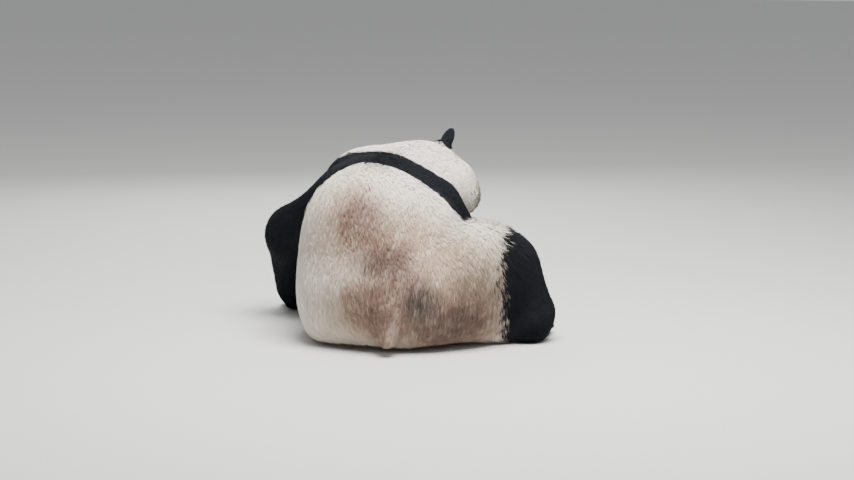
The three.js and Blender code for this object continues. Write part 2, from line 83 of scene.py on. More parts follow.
# %% Camera
IMAGE_WIDE = 854
METRES_PER_PIXEL = 0.0032085  # at the animal
CAMERA_TURN, CAMERA_RISE, CAMERA_FAR = math.radians(188), math.radians(9), 9.3
SEAT_RIGHT_OF, SEAT_BELOW = 27, 103  # pixels from the seat's middle to the middle of the picture

back = np.array([
    math.sin(CAMERA_TURN) * math.cos(CAMERA_RISE),
    -math.cos(CAMERA_TURN) * math.cos(CAMERA_RISE),
    math.sin(CAMERA_RISE),
])
right = np.array([math.cos(CAMERA_TURN), math.sin(CAMERA_TURN), 0.0])
upright = np.cross(back, right)
target = (right * SEAT_RIGHT_OF + upright * SEAT_BELOW) * METRES_PER_PIXEL
camera = to_scene("camera", bpy.data.cameras.new("camera"))
camera.data.lens = camera.data.sensor_width * CAMERA_FAR / (IMAGE_WIDE * METRES_PER_PIXEL)
camera.matrix_world = Matrix.Translation(Vector(target + back * CAMERA_FAR)) @ Matrix(
    np.column_stack([right, upright, back]).tolist()
).to_4x4()
bpy.context.scene.camera = camera
print("lens mm:", round(camera.data.lens, 1))

# %% [markdown]
# ## Rounded masses that melt together
# A heavy animal reads as a few rounded masses, a rump, a rib cage, cheeks, with soft folds between them. Each
# mass is a distance: negative inside, zero on its surface, positive outside. Two distances join by taking
# the smaller, rounded off where they are nearly equal, which gives the fillet that flesh has. Sculpting or
# subdivision could make the same form, but a distance also tells every hair how far it is from the outline.

# %% Distances to simple masses
MM = 0.001


def at(left, forward, up):
    """A place from millimetres to the animal's left, forwards and up."""
    return np.array([left, -forward, up]) * MM


def unit(v):
    """The vector, or each row of vectors, divided by its length."""
    return v / np.maximum(np.linalg.norm(v, axis=-1, keepdims=True), 1e-12)


def smooth(value, low, high):
    """0 up to low, 1 from high, and 3t² - 2t³ between them."""
    t = np.clip((value - low) / (high - low), 0, 1)
    return t * t * (3 - 2 * t)


def egg(centre, half_sizes, turn=None):
    """Ellipsoid: k(k - 1) / g, where k is the length of p/half and g the length of p/half²."""
    half = np.array(half_sizes) * MM

    def distance(p):
        q = p - centre
        if turn is not None:
            q = q @ turn
        inside = np.linalg.norm(q / half, axis=-1)
        slope = np.linalg.norm(q / half**2, axis=-1)
        return np.where(inside < 1e-3, -half.min(), inside * (inside - 1) / np.maximum(slope, 1e-9))

    return distance


def bar(start, end, start_radius, end_radius):
    """Round bar: distance to the line from start to end, less a radius that changes evenly along it."""
    along = end - start

    def distance(p):
        share = np.clip((p - start) @ along / (along @ along), 0, 1)
        reach = np.linalg.norm(p - start - share[..., None] * along, axis=-1)
        return reach - (start_radius + share * (end_radius - start_radius)) * MM

    return distance


def melt(a, b, blend):
    """The smaller of two distances, less (overlap² · blend) / 4 where they differ by less than blend mm."""
    width = blend * MM
    overlap = np.maximum(width - np.abs(a - b), 0) / width
    return np.minimum(a, b) - overlap**2 * width / 4


def carve(a, b, blend):
    """The distance a with the mass of distance b cut out of it, and a rounded edge."""
    return -melt(-a, b, blend)


def melt_all(blend, *distances):
    """One distance from several, each melted into the ones before it."""

    def distance(p):
        total = distances[0](p)
        for other in distances[1:]:
            total = melt(total, other(p), blend)
        return total

    return distance


def press(distance, blend):
    """A distance cut off flat at the floor, with a soft edge."""
    return lambda p: carve(distance(p), p[..., 2], blend)

# %% [markdown]
# ## The body
# These are the same masses, at the same places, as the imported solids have, so the outline here is theirs.
# Remeshing the solids as one would be quicker, but would keep their facets and the cuts between them.

# %% Trunk, neck and tail
trunk_mass = press(
    melt_all(
        88,
        egg(at(0, 0, 163), (296, 228, 223)),  # rump, the seat
        egg(at(197, 42, 135), (132, 167, 193)),  # left haunch
        egg(at(-236, 80, 180), (128, 162, 214)),  # right haunch
        egg(at(104, 93, 321), (232, 209, 229)),  # loin, the crest of the back
        egg(at(-67, 104, 307), (126, 177, 160)),  # right flank
        egg(at(23, 153, 209), (181, 158, 177)),  # belly
        egg(at(104, 237, 377), (203, 172, 172)),  # rib cage
        egg(at(107, 307, 395), (200, 121, 160)),  # withers and shoulder blades
    ),
    35,
)
NECK_BASE, NECK_TOP = at(100, 367, 409), at(19, 507, 430)
TAIL_ROOT, TAIL_TIP = at(0, -200, 140), at(4, -234, 56)
neck_mass = melt_all(
    56,
    egg(at(150, 418, 431), (178, 110, 153)),  # shoulders and mane
    bar(NECK_BASE, NECK_TOP, 153, 135),
    egg(at(50, 492, 496), (96, 106, 87)),  # nape
)
tail_mass = bar(TAIL_ROOT, TAIL_TIP, 43, 30)


def trunk(p):
    """Trunk, neck and tail in one distance."""
    return melt(melt(trunk_mass(p), neck_mass(p), 56), tail_mass(p), 23)


# %% Head
HEAD_PITCH, HEAD_ROLL, HEAD_YAW = 30, 28, -26  # degrees: nose down, tipped to its left, turned to its right
HEAD_CENTRE = at(-13, 578, 435)
HEAD_TURN = np.array(
    Matrix.Rotation(math.radians(HEAD_YAW), 3, "Z")
    @ Matrix.Rotation(math.radians(HEAD_PITCH), 3, "X")
    @ Matrix.Rotation(math.radians(HEAD_ROLL), 3, "Y")
)


def on_head(left, forward, up):
    """A place on the head, from its middle: to its left, towards its nose and towards its crown."""
    return HEAD_TURN @ at(left, forward, up) + HEAD_CENTRE


def headward(left, forward, up):
    """A direction in the head's own axes."""
    return unit(HEAD_TURN @ at(left, forward, up))


def head_egg(left, forward, up, half_sizes):
    """An ellipsoid in the head's own axes."""
    return egg(on_head(left, forward, up), half_sizes, HEAD_TURN)


SIDES = {"left": 1, "right": -1}


def head_pair(left, forward, up, half_sizes):
    """The same ellipsoid on both sides of the head."""
    return [head_egg(side * left, forward, up, half_sizes) for side in SIDES.values()]


skull_mass = melt_all(
    41,
    head_egg(0, -19, 19, (125, 121, 117)),  # brain case under the thick crown
    head_egg(0, 54, 32, (89, 76, 78)),  # forehead and brow
    *head_pair(81, 2, -32, (86, 95, 87)),  # cheek ruffs
    *head_pair(92, 42, -72, (56, 64, 56)),  # jowls
    *head_pair(74, -16, 108, (36, 22, 26)),  # roots of the ears
    head_egg(0, 28, -70, (80, 87, 56)),  # throat and the root of the jaw
)
muzzle_mass = melt_all(
    19,
    bar(on_head(0, 86, -24), on_head(0, 141, -41), 61, 46),  # bridge and upper jaw
    *head_pair(22, 145, -56, (30, 32, 28)),  # lip pads
    bar(on_head(0, 70, -76), on_head(0, 132, -84), 41, 25),  # chin
)
head = melt_all(32, skull_mass, muzzle_mass)
print("head's middle:", HEAD_CENTRE.tolist())

# %% Paws and feet
TOES, TOE_LONG, TOE_RADIUS = 5, 20, 17
UP = np.array([0.0, 0.0, 1.0])


def paw(heel, forward, top, length, width, thickness):
    """A paw: an egg for its ball, a bar for its sole, and a bar for each toe along a shallow arc."""
    ahead = unit(forward)
    across = unit(np.cross(ahead, top))
    above = np.cross(across, ahead)

    def spot(along, sideways, rise):
        return heel + (ahead * along + across * sideways + above * rise) * MM

    ball = egg(
        spot(length * 0.72, 0, 0),
        (width / 2, length * 0.34, thickness / 2),
        np.column_stack([across, ahead, above]),
    )
    sole = bar(spot(0, 0, 0), spot(length * 0.7, 0, 0), thickness * 0.52, thickness * 0.5)
    toes = []
    for share in np.linspace(-1, 1, TOES):
        reach = length + TOE_LONG * (1 - 0.55 * share**2)
        spread = share * (width / 2 - TOE_RADIUS * 0.75)
        root, tip = spot(length * 0.78, spread * 0.8, 0), spot(reach, spread, -thickness * 0.14)
        toes.append({"root": root, "tip": tip, "way": unit(tip - root), "above": above})
    palm = melt_all(23, ball, sole)
    all_toes = melt_all(6.5, *[bar(toe["root"], toe["tip"], TOE_RADIUS, TOE_RADIUS * 0.9) for toe in toes])
    return {
        "distance": press(lambda p: melt(palm(p), all_toes(p), 11), 8),
        "toes": toes,
        "spot": spot,
        "axes": (across, ahead, above),
        "size": (length, width, thickness),
    }


front = {"length": 73, "width": 125, "thickness": 78}
hind = {"length": 149, "width": 119, "thickness": 86}
LIMBS = {
    "arm_left": {
        "bones": [(at(223, 290, 386), 123), (at(413, 389, 285), 96), (at(437, 523, 84), 67)],
        "paw": paw(at(439, 549, 33), at(0.05, 1, 0), UP, **front),
        "end": "paw_left",
        "root_share": 0.3,
    },
    "arm_right": {
        "bones": [(at(-48, 302, 374), 123), (at(-156, 400, 223), 89), (at(-141, 528, 84), 67)],
        "paw": paw(at(-141, 554, 33), at(-0.1, 1, 0), UP, **front),
        "end": "paw_right",
        "root_share": 0.35,
    },
    "leg_left": {
        "bones": [(at(153, 37, 181), 153), (at(234, 260, 197), 117), (at(191, 451, 91), 78)],
        "paw": paw(at(182, 510, 31), at(0.1, 0.4, 0.9), at(0, -1, 0.4), **hind),
        "end": "foot_left",
        "root_share": 0.62,
    },
    "leg_right": {
        "bones": [(at(-158, 37, 191), 153), (at(-310, 130, 222), 125), (at(-407, 104, 92), 84)],
        "paw": paw(at(-409, 86, 37), at(-0.03, 1, 0), UP, **hind),
        "end": "foot_right",
        "root_share": 0.0,
        "extra": press(  # the long coat round the heel and behind it
            melt_all(30, egg(at(-402, 86, 56), (69, 69, 78)), egg(at(-335, 66, 48), (58, 60, 52))), 35
        ),
    },
}
for limb in LIMBS.values():
    (root, root_r), (bend, bend_r), (end, end_r) = limb["bones"]
    limb["ways"] = unit(bend - root), unit(end - bend)
    limb["bars"] = bar(root, bend, root_r, bend_r), bar(bend, end, bend_r, end_r)
    rest = [limb["extra"]] if "extra" in limb else []
    limb["distance"] = melt_all(28, *limb["bars"], limb["paw"]["distance"], *rest)


def paw_distance(p):
    """The nearest paw."""
    return np.min([limb["paw"]["distance"](p) for limb in LIMBS.values()], axis=0)


print("limbs:", {name: limb["end"] for name, limb in LIMBS.items()})

# %% Ears and the whole outline
EAR_WIDE, EAR_THICK, EAR_HIGH = 43, 16, 49  # half sizes, to the tips of the coat
ears = {}
for side, sign in SIDES.items():
    ear_up = headward(sign * 0.62, -0.1, 0.8)
    ear_across = unit(np.cross(headward(sign * 0.58, 0.8, 0), ear_up))
    ear_ahead = np.cross(ear_up, ear_across)
    spot = on_head(sign * 101, -18, 121)
    disc = egg(spot, (EAR_WIDE, EAR_HIGH, EAR_THICK), np.column_stack([ear_across, ear_up, ear_ahead]))
    ears[side] = {"spot": spot, "up": ear_up, "ahead": ear_ahead, "disc": disc}


def ear_distance(p):
    """Both ears: round discs with a flattened front."""
    both = [carve(e["disc"](p), 0.009 - (p - e["spot"]) @ e["ahead"], 12) for e in ears.values()]
    return np.minimum(*both)


ear_roots = melt_all(1, *head_pair(74, -16, 108, (36, 22, 26)))


def outline(p):
    """The whole animal, to the tips of its coat. Head, ears and limbs melt into the trunk."""
    core = trunk(p)
    nearest = melt(melt(core, head(p), 51), ear_distance(p), 8)
    for limb in LIMBS.values():
        nearest = np.minimum(nearest, melt(core, limb["distance"](p), 65))
    return nearest

# %% [markdown]
# ## How deep the coat is
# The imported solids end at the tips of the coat, so the skin lies inside them. A giant panda's coat is deepest
# on the back and neck and thins out to a short pile on the muzzle, ears and feet. One depth all over would be
# simpler, but would bury the face or shave the back, so each region has its own and they are blended.

# %% Coat depth
BODY_DEPTH, CROWN_DEPTH, MUZZLE_DEPTH = 0.019, 0.013, 0.003
EAR_DEPTH, FOOT_DEPTH, TAIL_DEPTH = 0.004, 0.006, 0.011
nose_low, nose_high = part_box("nose")
NOSE_PLACE = np.array((nose_low + nose_high) / 2)


def toward(value, goal, share):
    """The value moved towards a goal by a share from 0 to 1."""
    return value + (goal - value) * share


def coat_depth(p):
    """Metres from the skin to the outline, blended from one region of the coat to the next."""
    from_nose = np.linalg.norm(p - NOSE_PLACE, axis=-1)
    on_skull = toward(MUZZLE_DEPTH, CROWN_DEPTH, smooth(from_nose, 0.05, 0.22))
    depth = toward(BODY_DEPTH, on_skull, smooth(trunk(p) - head(p), -0.03, 0.05))
    depth = toward(depth, EAR_DEPTH, 1 - smooth(ear_distance(p), 0.0, 0.02))
    depth = toward(depth, TAIL_DEPTH, 1 - smooth(tail_mass(p), 0.0, 0.03))
    for limb in LIMBS.values():
        depth = toward(depth, FOOT_DEPTH, 1 - smooth(limb["paw"]["distance"](p), 0.0, 0.09))
    return depth


def plain_skin(p):
    """The skin without its folds: the outline moved inwards by the coat's depth."""
    return outline(p) + coat_depth(p)


crest_and_nose = np.array([at(104, 60, 520), NOSE_PLACE])
print("coat on the crest and by the nose, mm:", np.round(coat_depth(crest_and_nose) / MM, 1).tolist())


# %% [markdown]
# ## Eyelids, lips and pads
# The face is where a model panda succeeds or fails. The lids are a thin shell over the eyeball with an almond
# opening, the lips part along a groove that runs round the muzzle, and each sole has bare, leathery pads.
# They are cut into the same distance as the body, so the skin stays in one piece.

# %% Eyes
EYE_RADIUS = 0.011
LID_RADIUS = 0.0127
LID_LENGTH, LID_HEIGHT = 0.0102, 0.0072  # half sizes of the opening between the lids
LID_FLOOR = 0.004  # the skin inside the opening ends this far ahead of the eyeball's middle
eyes = {}
for side, sign in SIDES.items():
    low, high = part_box(f"eye_{side}")
    ahead = headward(sign * 0.36, 1, 0.08)
    tilt = headward(sign * 1.0, 0, -0.22)
    across = unit(tilt - ahead * (tilt @ ahead))
    up = np.cross(across, ahead)
    up = up * np.sign(up @ headward(0, 0, 1))
    eyes[side] = {"centre": np.array((low + high) / 2), "ahead": ahead, "across": across, "up": up}


def eye_place(eye, p):
    """Places in an eye's own axes: across towards its outer corner, up, and ahead."""
    q = p - eye["centre"]
    return q @ eye["across"], q @ eye["up"], q @ eye["ahead"]


def lids(skin_distance, p):
    """The skin with a shell over each eyeball, open where (x/length)² + |y/height|^1.6 < 1."""
    for eye in eyes.values():
        x, y, z = eye_place(eye, p)
        shell = np.linalg.norm(p - eye["centre"], axis=-1) - LID_RADIUS
        almond = ((x / LID_LENGTH) ** 2 + np.abs(y / LID_HEIGHT) ** 1.6 - 1) * LID_HEIGHT / 2
        opening = np.maximum(almond, LID_FLOOR - z)
        skin_distance = carve(melt(skin_distance, shell, 5), opening, 0.6)
    return skin_distance


print("eyes look along:", [eye["ahead"].round(2).tolist() for eye in eyes.values()])

# %% Mouth
def surface_along(distance, start, ways):
    """Where lines from one start, in several directions, leave the mass."""
    reach = np.zeros(len(ways))
    for _ in range(60):
        reach += np.maximum(-distance(start + ways * reach[:, None]), 0) * 0.8
    return start + ways * reach[:, None]


MOUTH_TURN = math.radians(78)  # how far round the muzzle each half of the mouth runs
mouth_angles = np.linspace(-MOUTH_TURN, MOUTH_TURN, 27)
mouth_ways = np.array([headward(math.sin(a), math.cos(a), -0.02 - 0.10 * a * a) for a in mouth_angles])
mouth_line = surface_along(plain_skin, on_head(0, 108, -74), mouth_ways)
philtrum_ways = np.array([headward(0, math.cos(a), math.sin(a)) for a in np.linspace(-0.02, 0.42, 6)])
philtrum_line = surface_along(plain_skin, on_head(0, 108, -74), philtrum_ways)


def to_line(points, p):
    """Distance from each place to the nearest of a line's stretches."""
    nearest = np.full(len(p), np.inf)
    for start, end in zip(points[:-1], points[1:], strict=True):
        along = end - start
        share = np.clip((p - start) @ along / (along @ along), 0, 1)
        nearest = np.minimum(nearest, np.linalg.norm(p - start - share[:, None] * along, axis=1))
    return nearest


def lips(skin_distance, p):
    """The skin with a groove along the mouth, 2 mm in radius, and a finer one up to the nose."""
    skin_distance = carve(skin_distance, to_line(mouth_line, p) - 0.0020, 2.5)
    return carve(skin_distance, to_line(philtrum_line, p) - 0.0010, 2)


print("mouth from corner to corner, mm:", round(np.linalg.norm(mouth_line[0] - mouth_line[-1]) / MM))

# %% Nose pad
NOSE_HALF = (25, 15, 18)  # mm to the side, ahead and up


def nose_distance(p):
    """An egg that narrows downwards, with two nostrils that curl outwards and a groove down the middle."""
    left, behind, up = ((p - NOSE_PLACE) @ HEAD_TURN / MM).T
    taper = 0.74 + 0.26 * np.sin(math.pi / 2 * np.clip(up / NOSE_HALF[2] * 1.6, -1, 1))
    half = np.array(NOSE_HALF)
    reach = np.linalg.norm(np.stack([left / taper, behind, up], 1) / half, axis=1)
    distance = (reach - 1) * half.min() * MM
    side = np.stack([np.abs(left), behind, up], 1) * MM
    nostril = bar(at(9.5, 14.5, -1.0), at(11.5, 7.0, 1.5), 4.3, 3.0)(side)
    slit = bar(at(11, 14, -2.5), at(19.0, 9.0, -7.5), 2.5, 1.2)(side)
    groove = bar(at(0, 16.0, 3), at(0, 11.5, -19), 0.8, 1.3)(side)
    return carve(carve(distance, melt(nostril, slit, 2.5), 1.6), groove, 1.4)


# %% Pads
PAD_SWELL = 0.0035  # how far a pad stands out of the skin
pads = []
for limb in LIMBS.values():
    foot = limb["paw"]
    across, ahead, above = foot["axes"]
    turn = np.column_stack(foot["axes"])
    length, width, thickness = foot["size"]
    pads += [egg(toe["tip"] - above * 0.010 - ahead * 0.002, (9, 11, 9), turn) for toe in foot["toes"]]
    pads.append(egg(foot["spot"](length * 0.66, 0, -thickness * 0.27), (width * 0.37, 20, 16), turn))


print("pads:", len(pads))


def pad_distance(p):
    """The nearest pad."""
    return np.min([pad(p) for pad in pads], axis=0)


HEAD_REACH = 0.26  # no part of the face is further from the head's middle


def near_head(p):
    """True where the face has to be looked at."""
    return np.linalg.norm(p - HEAD_CENTRE, axis=1) < HEAD_REACH


def fine_skin(p):
    """The whole skin, with its lids, lips and pads."""
    distance = plain_skin(p)
    near = near_head(p)
    distance[near] = lips(lids(distance[near], p[near]), p[near])
    near = paw_distance(p) < 0.02
    swollen = np.maximum(pad_distance(p[near]), distance[near] - PAD_SWELL)
    distance[near] = melt(distance[near], swollen, 3)
    return distance


# %% [markdown]
# ## From distance to mesh
# A surface net puts one vertex in every cell of a grid that the surface crosses and one quad over every grid
# edge that it crosses. The quads are even in size and have no poles, which suits a body better than a
# stretched sphere would. The face and feet then get finer cells, drawn onto the true surface.

# %% Surface net
def surface_net(distance, low, high, cell):
    """Vertices and quads of the zero surface of a distance, on a grid worked out only near the surface."""
    counts = np.ceil((high - low) / cell).astype(int) + 1
    block = 4
    starts = [low[k] + cell * (block * np.arange(-(-counts[k] // block)) + 1.5) for k in range(3)]
    rough = distance(np.stack(np.meshgrid(*starts, indexing="ij"), -1).reshape(-1, 3))
    rough = rough.reshape([len(s) for s in starts])
    values = rough.repeat(block, 0).repeat(block, 1).repeat(block, 2)
    values = values[: counts[0], : counts[1], : counts[2]].copy()
    near = np.argwhere(np.abs(values) < 1.6 * block * cell)
    values[tuple(near.T)] = distance(low + near * cell)
    inside = values < 0
    corners = np.array([(c & 1, c >> 1 & 1, c >> 2) for c in range(8)])
    windows = [tuple(slice(c, n - 1 + c) for c, n in zip(corner, counts, strict=True)) for corner in corners]
    held = sum(inside[w].astype(np.int8) for w in windows)
    crossed = (held > 0) & (held < 8)
    cells = np.argwhere(crossed)
    number = np.full(crossed.shape, -1)
    number[crossed] = np.arange(len(cells))
    at_corner = np.stack([values[w][crossed] for w in windows], 1)
    total, hits = np.zeros((len(cells), 3)), np.zeros(len(cells))
    for a in range(8):
        for b in (a | 1, a | 2, a | 4):
            if b == a:
                continue
            va, vb = at_corner[:, a], at_corner[:, b]
            hit = (va < 0) != (vb < 0)
            share = np.where(hit, va / np.where(hit, va - vb, 1), 0)
            total += hit[:, None] * (corners[a] + share[:, None] * (corners[b] - corners[a]))
            hits += hit
    places = low + cell * (cells + total / hits[:, None])
    quads = []
    for axis in range(3):
        step = np.eye(3, dtype=int)
        shifted = np.roll(inside, -1, axis)
        change = inside != shifted
        change[tuple(slice(-1, None) if k == axis else slice(None) for k in range(3))] = False
        edges = np.argwhere(change)
        u, v = step[(axis + 1) % 3], step[(axis + 2) % 3]
        ring = [number[tuple((edges - move).T)] for move in (0 * u, u, u + v, v)]
        quad = np.stack(ring, 1)
        leaving = inside[tuple(edges.T)]
        quads.append(np.where(leaving[:, None], quad, quad[:, ::-1]))
    return places, np.concatenate(quads)


def slope_of(distance, p, step=0.0004):
    """How a distance changes along each axis, by central differences."""
    return np.stack([(distance(p + move) - distance(p - move)) / (2 * step) for move in np.eye(3) * step], 1)


def settle(distance, p, most, rounds=3):
    """Draws places onto the zero surface, by no more than a most per round."""
    for _ in range(rounds):
        slope = slope_of(distance, p)
        move = -distance(p) / np.maximum((slope**2).sum(1), 0.05)
        p = p + slope * np.clip(move, -most, most)[:, None]
    return p


# %% Skin mesh
SKIN_CELL = 0.0072
FLOOR_GAP = 0.0006  # the skin stays this far above the floor


def solid(name, places, faces):
    """A smooth-shaded piece from its corners and faces."""
    mesh = bpy.data.meshes.new(name)
    mesh.from_pydata(places, [], faces)
    mesh.polygons.foreach_set("use_smooth", np.ones(len(mesh.polygons), bool))
    print(name, len(mesh.vertices), "vertices")
    return to_scene(name, mesh)


def read(items, name, width, kind=np.float64):
    """One value of all the items of a mesh, as rows."""
    values = np.empty(len(items) * width, kind)
    items.foreach_get(name, values)
    return values.reshape(-1, width)


def near_eyes(p, reach):
    """True within a reach of either eye."""
    return np.any([np.linalg.norm(p - eye["centre"], axis=1) < reach for eye in eyes.values()], axis=0)


def face_and_feet(p):
    """True on the front of the head, the ears and the paws."""
    from_nose = np.linalg.norm(p - NOSE_PLACE, axis=1)
    return (from_nose < 0.15) | (paw_distance(p) < 0.01) | (ear_distance(p) < 0.01)


def refine(where, most):
    """Splits the quads whose middles are where asked, and draws their corners onto the fine skin."""
    built = bmesh.new()
    built.from_mesh(skin_mesh)
    middles = np.array([face.calc_center_median()[:] for face in built.faces])
    built.faces.ensure_lookup_table()
    edges = {edge for i in np.flatnonzero(where(middles)) for edge in built.faces[i].edges}
    bmesh.ops.subdivide_edges(built, edges=list(edges), cuts=1, use_grid_fill=True)
    built.to_mesh(skin_mesh)
    built.free()
    p = read(skin_mesh.vertices, "co", 3)
    moved = where(p)
    p[moved] = settle(fine_skin, p[moved], most)
    p[:, 2] = np.maximum(p[:, 2], FLOOR_GAP)
    skin_mesh.vertices.foreach_set("co", p.ravel())
    print("refined to", len(p), "vertices")


low, high = np.array(cad_box[0]) - 0.02, np.array(cad_box[1]) + 0.02
places, quads = surface_net(plain_skin, low, high, SKIN_CELL)
skin = solid("skin", settle(plain_skin, places, SKIN_CELL * 0.3, 2), quads.tolist())
skin_mesh = skin.data
refine(face_and_feet, 0.002)
refine(lambda p: near_eyes(p, 0.030) | (np.linalg.norm(p - NOSE_PLACE, axis=1) < 0.085), 0.001)
refine(lambda p: near_eyes(p, 0.022), 0.0006)

# %% [markdown]
# ## Black and white
# A giant panda is white with a black band over the shoulders that runs down both arms, black hind legs, ears
# and eye patches. The same function of place marks the skin and every tuft, so that colour never slides off
# the form. The edges are moved by a fine waviness, because black and white hairs cross there.

# %% Waviness and signed spaces
wave_ways = unit(random.normal(size=(9, 3)))
wave_starts = random.uniform(0, 2 * math.pi, 9)


def waviness(p, size):
    """A smooth, patternless value from -1 to 1: the mean of nine sine waves of about one size, in metres."""
    turns = 2 * math.pi / (size * np.linspace(0.6, 1.7, 9))
    return np.sin((p @ wave_ways.T) * turns + wave_starts).mean(-1) * 2


def tapered(start, end, start_radius, end_radius, after):
    """A round bar with flat ends that runs on past its end by the length after, all in mm."""
    way = unit(end - start)
    length = np.linalg.norm(end - start) + after * MM

    def distance(p):
        along = (p - start) @ way
        aside = np.linalg.norm(p - start - along[:, None] * way, axis=1)
        share = np.clip(along / length, 0, 1)
        radius = (start_radius + share * (end_radius - start_radius)) * MM
        return np.maximum(aside - radius, np.maximum(-along, along - length))

    return distance


def slab(centre, axes, half_sizes):
    """A box with its own axes."""
    half = np.array(half_sizes) * MM
    return lambda p: (np.abs((p - centre) @ np.array(axes).T) - half).max(-1)


# %% Markings
BAND_BACK, BAND_AHEAD = 162, 136  # mm from the root of the neck to the black band's edges
BAND_MARGIN, LIMB_SLACK = 60, 30
BAND_HALF, BAND_HIGH = 391, 307
band_ahead = unit(at(-0.36, 0.93, 0.1))
band_left = -unit(np.cross(band_ahead, UP))
plain_band = slab(
    NECK_BASE + band_ahead * (BAND_AHEAD - BAND_BACK) / 2 * MM,
    (band_left, band_ahead, np.cross(band_left, band_ahead)),
    (BAND_HALF, (BAND_BACK + BAND_AHEAD) / 2 + BAND_MARGIN, BAND_HIGH),
)


def band(p):
    """A broad slab whose back edge sweeps back over both shoulders."""
    q = p - NECK_BASE
    left = q @ band_left
    sweep = 0.62 * np.maximum(left - 0.01, 0) + 0.2 * np.maximum(-left - 0.26, 0)
    return np.maximum(plain_band(p), -BAND_BACK * MM - sweep - q @ band_ahead)


def neck_edge(p):
    """The neck is white ahead of an upright plane, which stands a little further back on the left."""
    q = p - NECK_BASE
    return -0.020 - 0.14 * (q @ band_left) - q @ band_ahead


white_neck = tapered(NECK_BASE - unit(NECK_TOP - NECK_BASE) * 0.022, NECK_TOP, 232, 200, 84)
white_head = slab(on_head(0, 79, 0), HEAD_TURN.T, (232, 160, 219))
black_limbs = []
for limb in LIMBS.values():
    (root, root_r), (bend, bend_r), (end, end_r) = limb["bones"]
    start = root + (bend - root) * limb["root_share"]
    root_r, bend_r, end_r = root_r + LIMB_SLACK, bend_r + LIMB_SLACK, end_r + LIMB_SLACK
    upper, lower = tapered(start, bend, root_r, bend_r, bend_r), tapered(bend, end, bend_r, end_r, 400)
    black_limbs.append(melt_all(1, upper, lower))


def right_thigh(p):
    """The right leg is black outside an upright plane, which slants inwards in front. Its edge is blurred."""
    outside = p[:, 0] + 0.338 - 0.5 * np.maximum(-p[:, 1] - 0.10, 0)
    return np.maximum(black_limbs[-1](p), outside) * 0.4


PATCH_LONG, PATCH_WIDE = 0.034, 0.024  # half sizes of an eye patch, which droops outwards
patches = []
for side, sign in SIDES.items():
    slant = headward(sign * 0.62, 0, -0.78)
    patches.append((eyes[side]["centre"] + slant * 0.013, slant, np.cross(slant, headward(0, 1, 0))))


def black_share(p):
    """1 where the coat is black and 0 where it is white, with an edge about a finger wide."""
    white = np.maximum(np.minimum(white_neck(p), white_head(p)), neck_edge(p))
    black = [np.maximum(band(p), -white), paw_distance(p) - LIMB_SLACK * MM]
    black += [space(p) for space in (*black_limbs[:-1], right_thigh)]
    on_trunk = np.min(black, axis=0) + waviness(p, 0.030) * 0.006
    on_ears = np.minimum(ear_distance(p) - 0.004, ear_roots(p) - 0.008)
    on_face = np.full(len(p), 1.0)
    in_front = (p - HEAD_CENTRE) @ headward(0, 1, 0) > 0.02
    for middle, slant, aside in patches:
        q = p - middle
        patch = np.hypot(q @ slant / PATCH_LONG, q @ aside / PATCH_WIDE) - 1
        on_face = np.where(in_front, np.minimum(on_face, patch * PATCH_WIDE), on_face)
    near = near_head(p)
    on_face[near] = np.minimum(on_face[near], to_line(mouth_line, p[near]) - 0.005)
    on_face = on_face + waviness(p, 0.012) * 0.0015
    of_trunk, of_ears = 1 - smooth(on_trunk, -0.014, 0.014) ** 2, 1 - smooth(on_ears, -0.003, 0.004)
    return np.clip(of_trunk + of_ears + 1 - smooth(on_face, -0.002, 0.004), 0, 1)


# %% [markdown]
# ## Stains
# A living panda's white coat is never clean. Mud and clay rub in where the animal lies and leans: a rusty
# cloud over the loin, a dark smear on the right haunch, and a tan bloom over the rump. They could be painted
# on the unwrap. A few soft spots in space do it here, since they mark the skin and every tuft alike.

# %% Stains
# Each is a place, its half sizes to the left, forwards and up in mm, and its strength.
STAINS = {
    "rust": [
        (at(118, -98, 405), (84, 140, 106), 0.90),
        (at(20, -182, 298), (98, 120, 70), 1.10),
        (at(70, -150, 345), (84, 110, 72), 0.85),
        (at(-35, -208, 240), (68, 88, 66), 0.90),
        (at(25, -227, 150), (140, 105, 110), 0.80),
        (at(-205, -150, 100), (200, 155, 90), 0.85),
        (at(30, -250, 80), (80, 75, 90), 0.72),
    ],
    "soot": [
        (at(-98, -212, 165), (80, 98, 72), 0.88),
        (at(-205, -160, 90), (190, 150, 84), 0.70),
        (at(-270, -110, 190), (120, 130, 115), 0.55),
        (at(82, -185, 272), (4, 60, 34), 0.80),
        (at(20, -182, 292), (88, 110, 60), 0.60),
        (at(25, -227, 150), (130, 100, 100), 0.30),
        (at(125, -100, 415), (72, 100, 86), 0.26),
    ],
    "tan": [
        (at(-200, -120, 220), (225, 215, 170), 1.10),
        (at(-30, -120, 335), (195, 175, 145), 1.05),
        (at(140, -90, 380), (150, 200, 180), 0.90),
        (at(30, -200, 150), (220, 150, 160), 1.00),
        (at(-180, -100, 70), (230, 200, 110), 1.00),
        (at(90, -200, 40), (230, 120, 50), 0.60),
    ],
}


def stain(p, spots):
    """The strongest of some spots, each exp(-distance³), broken up by waviness at two sizes."""
    strength = np.zeros(len(p))
    for place, half_sizes, most in spots:
        reach = np.linalg.norm((p - place) / (np.array(half_sizes) * MM), axis=1)
        strength = np.maximum(strength, most * np.exp(-(reach**3)))
    broken = 1 + 0.16 * waviness(p, 0.05) + 0.26 * waviness(p + 3, 0.013)
    return np.clip(strength * broken, 0, 1)


def coat_values(p):
    """The markings and stains at some places, by name."""
    return {"black": black_share(p), **{name: stain(p, spots) for name, spots in STAINS.items()}}


print("stains:", {name: len(spots) for name, spots in STAINS.items()})

# %% [markdown]
# ## Which way the hair lies
# Hair grows back from the nose, over the crown, down the neck and along the back to the rump, and down each
# limb to its paw. It could be combed by hand. Here each region names its direction, nearby regions are mixed
# by how near they are, gravity adds a little, and the part along the skin's normal is taken out.

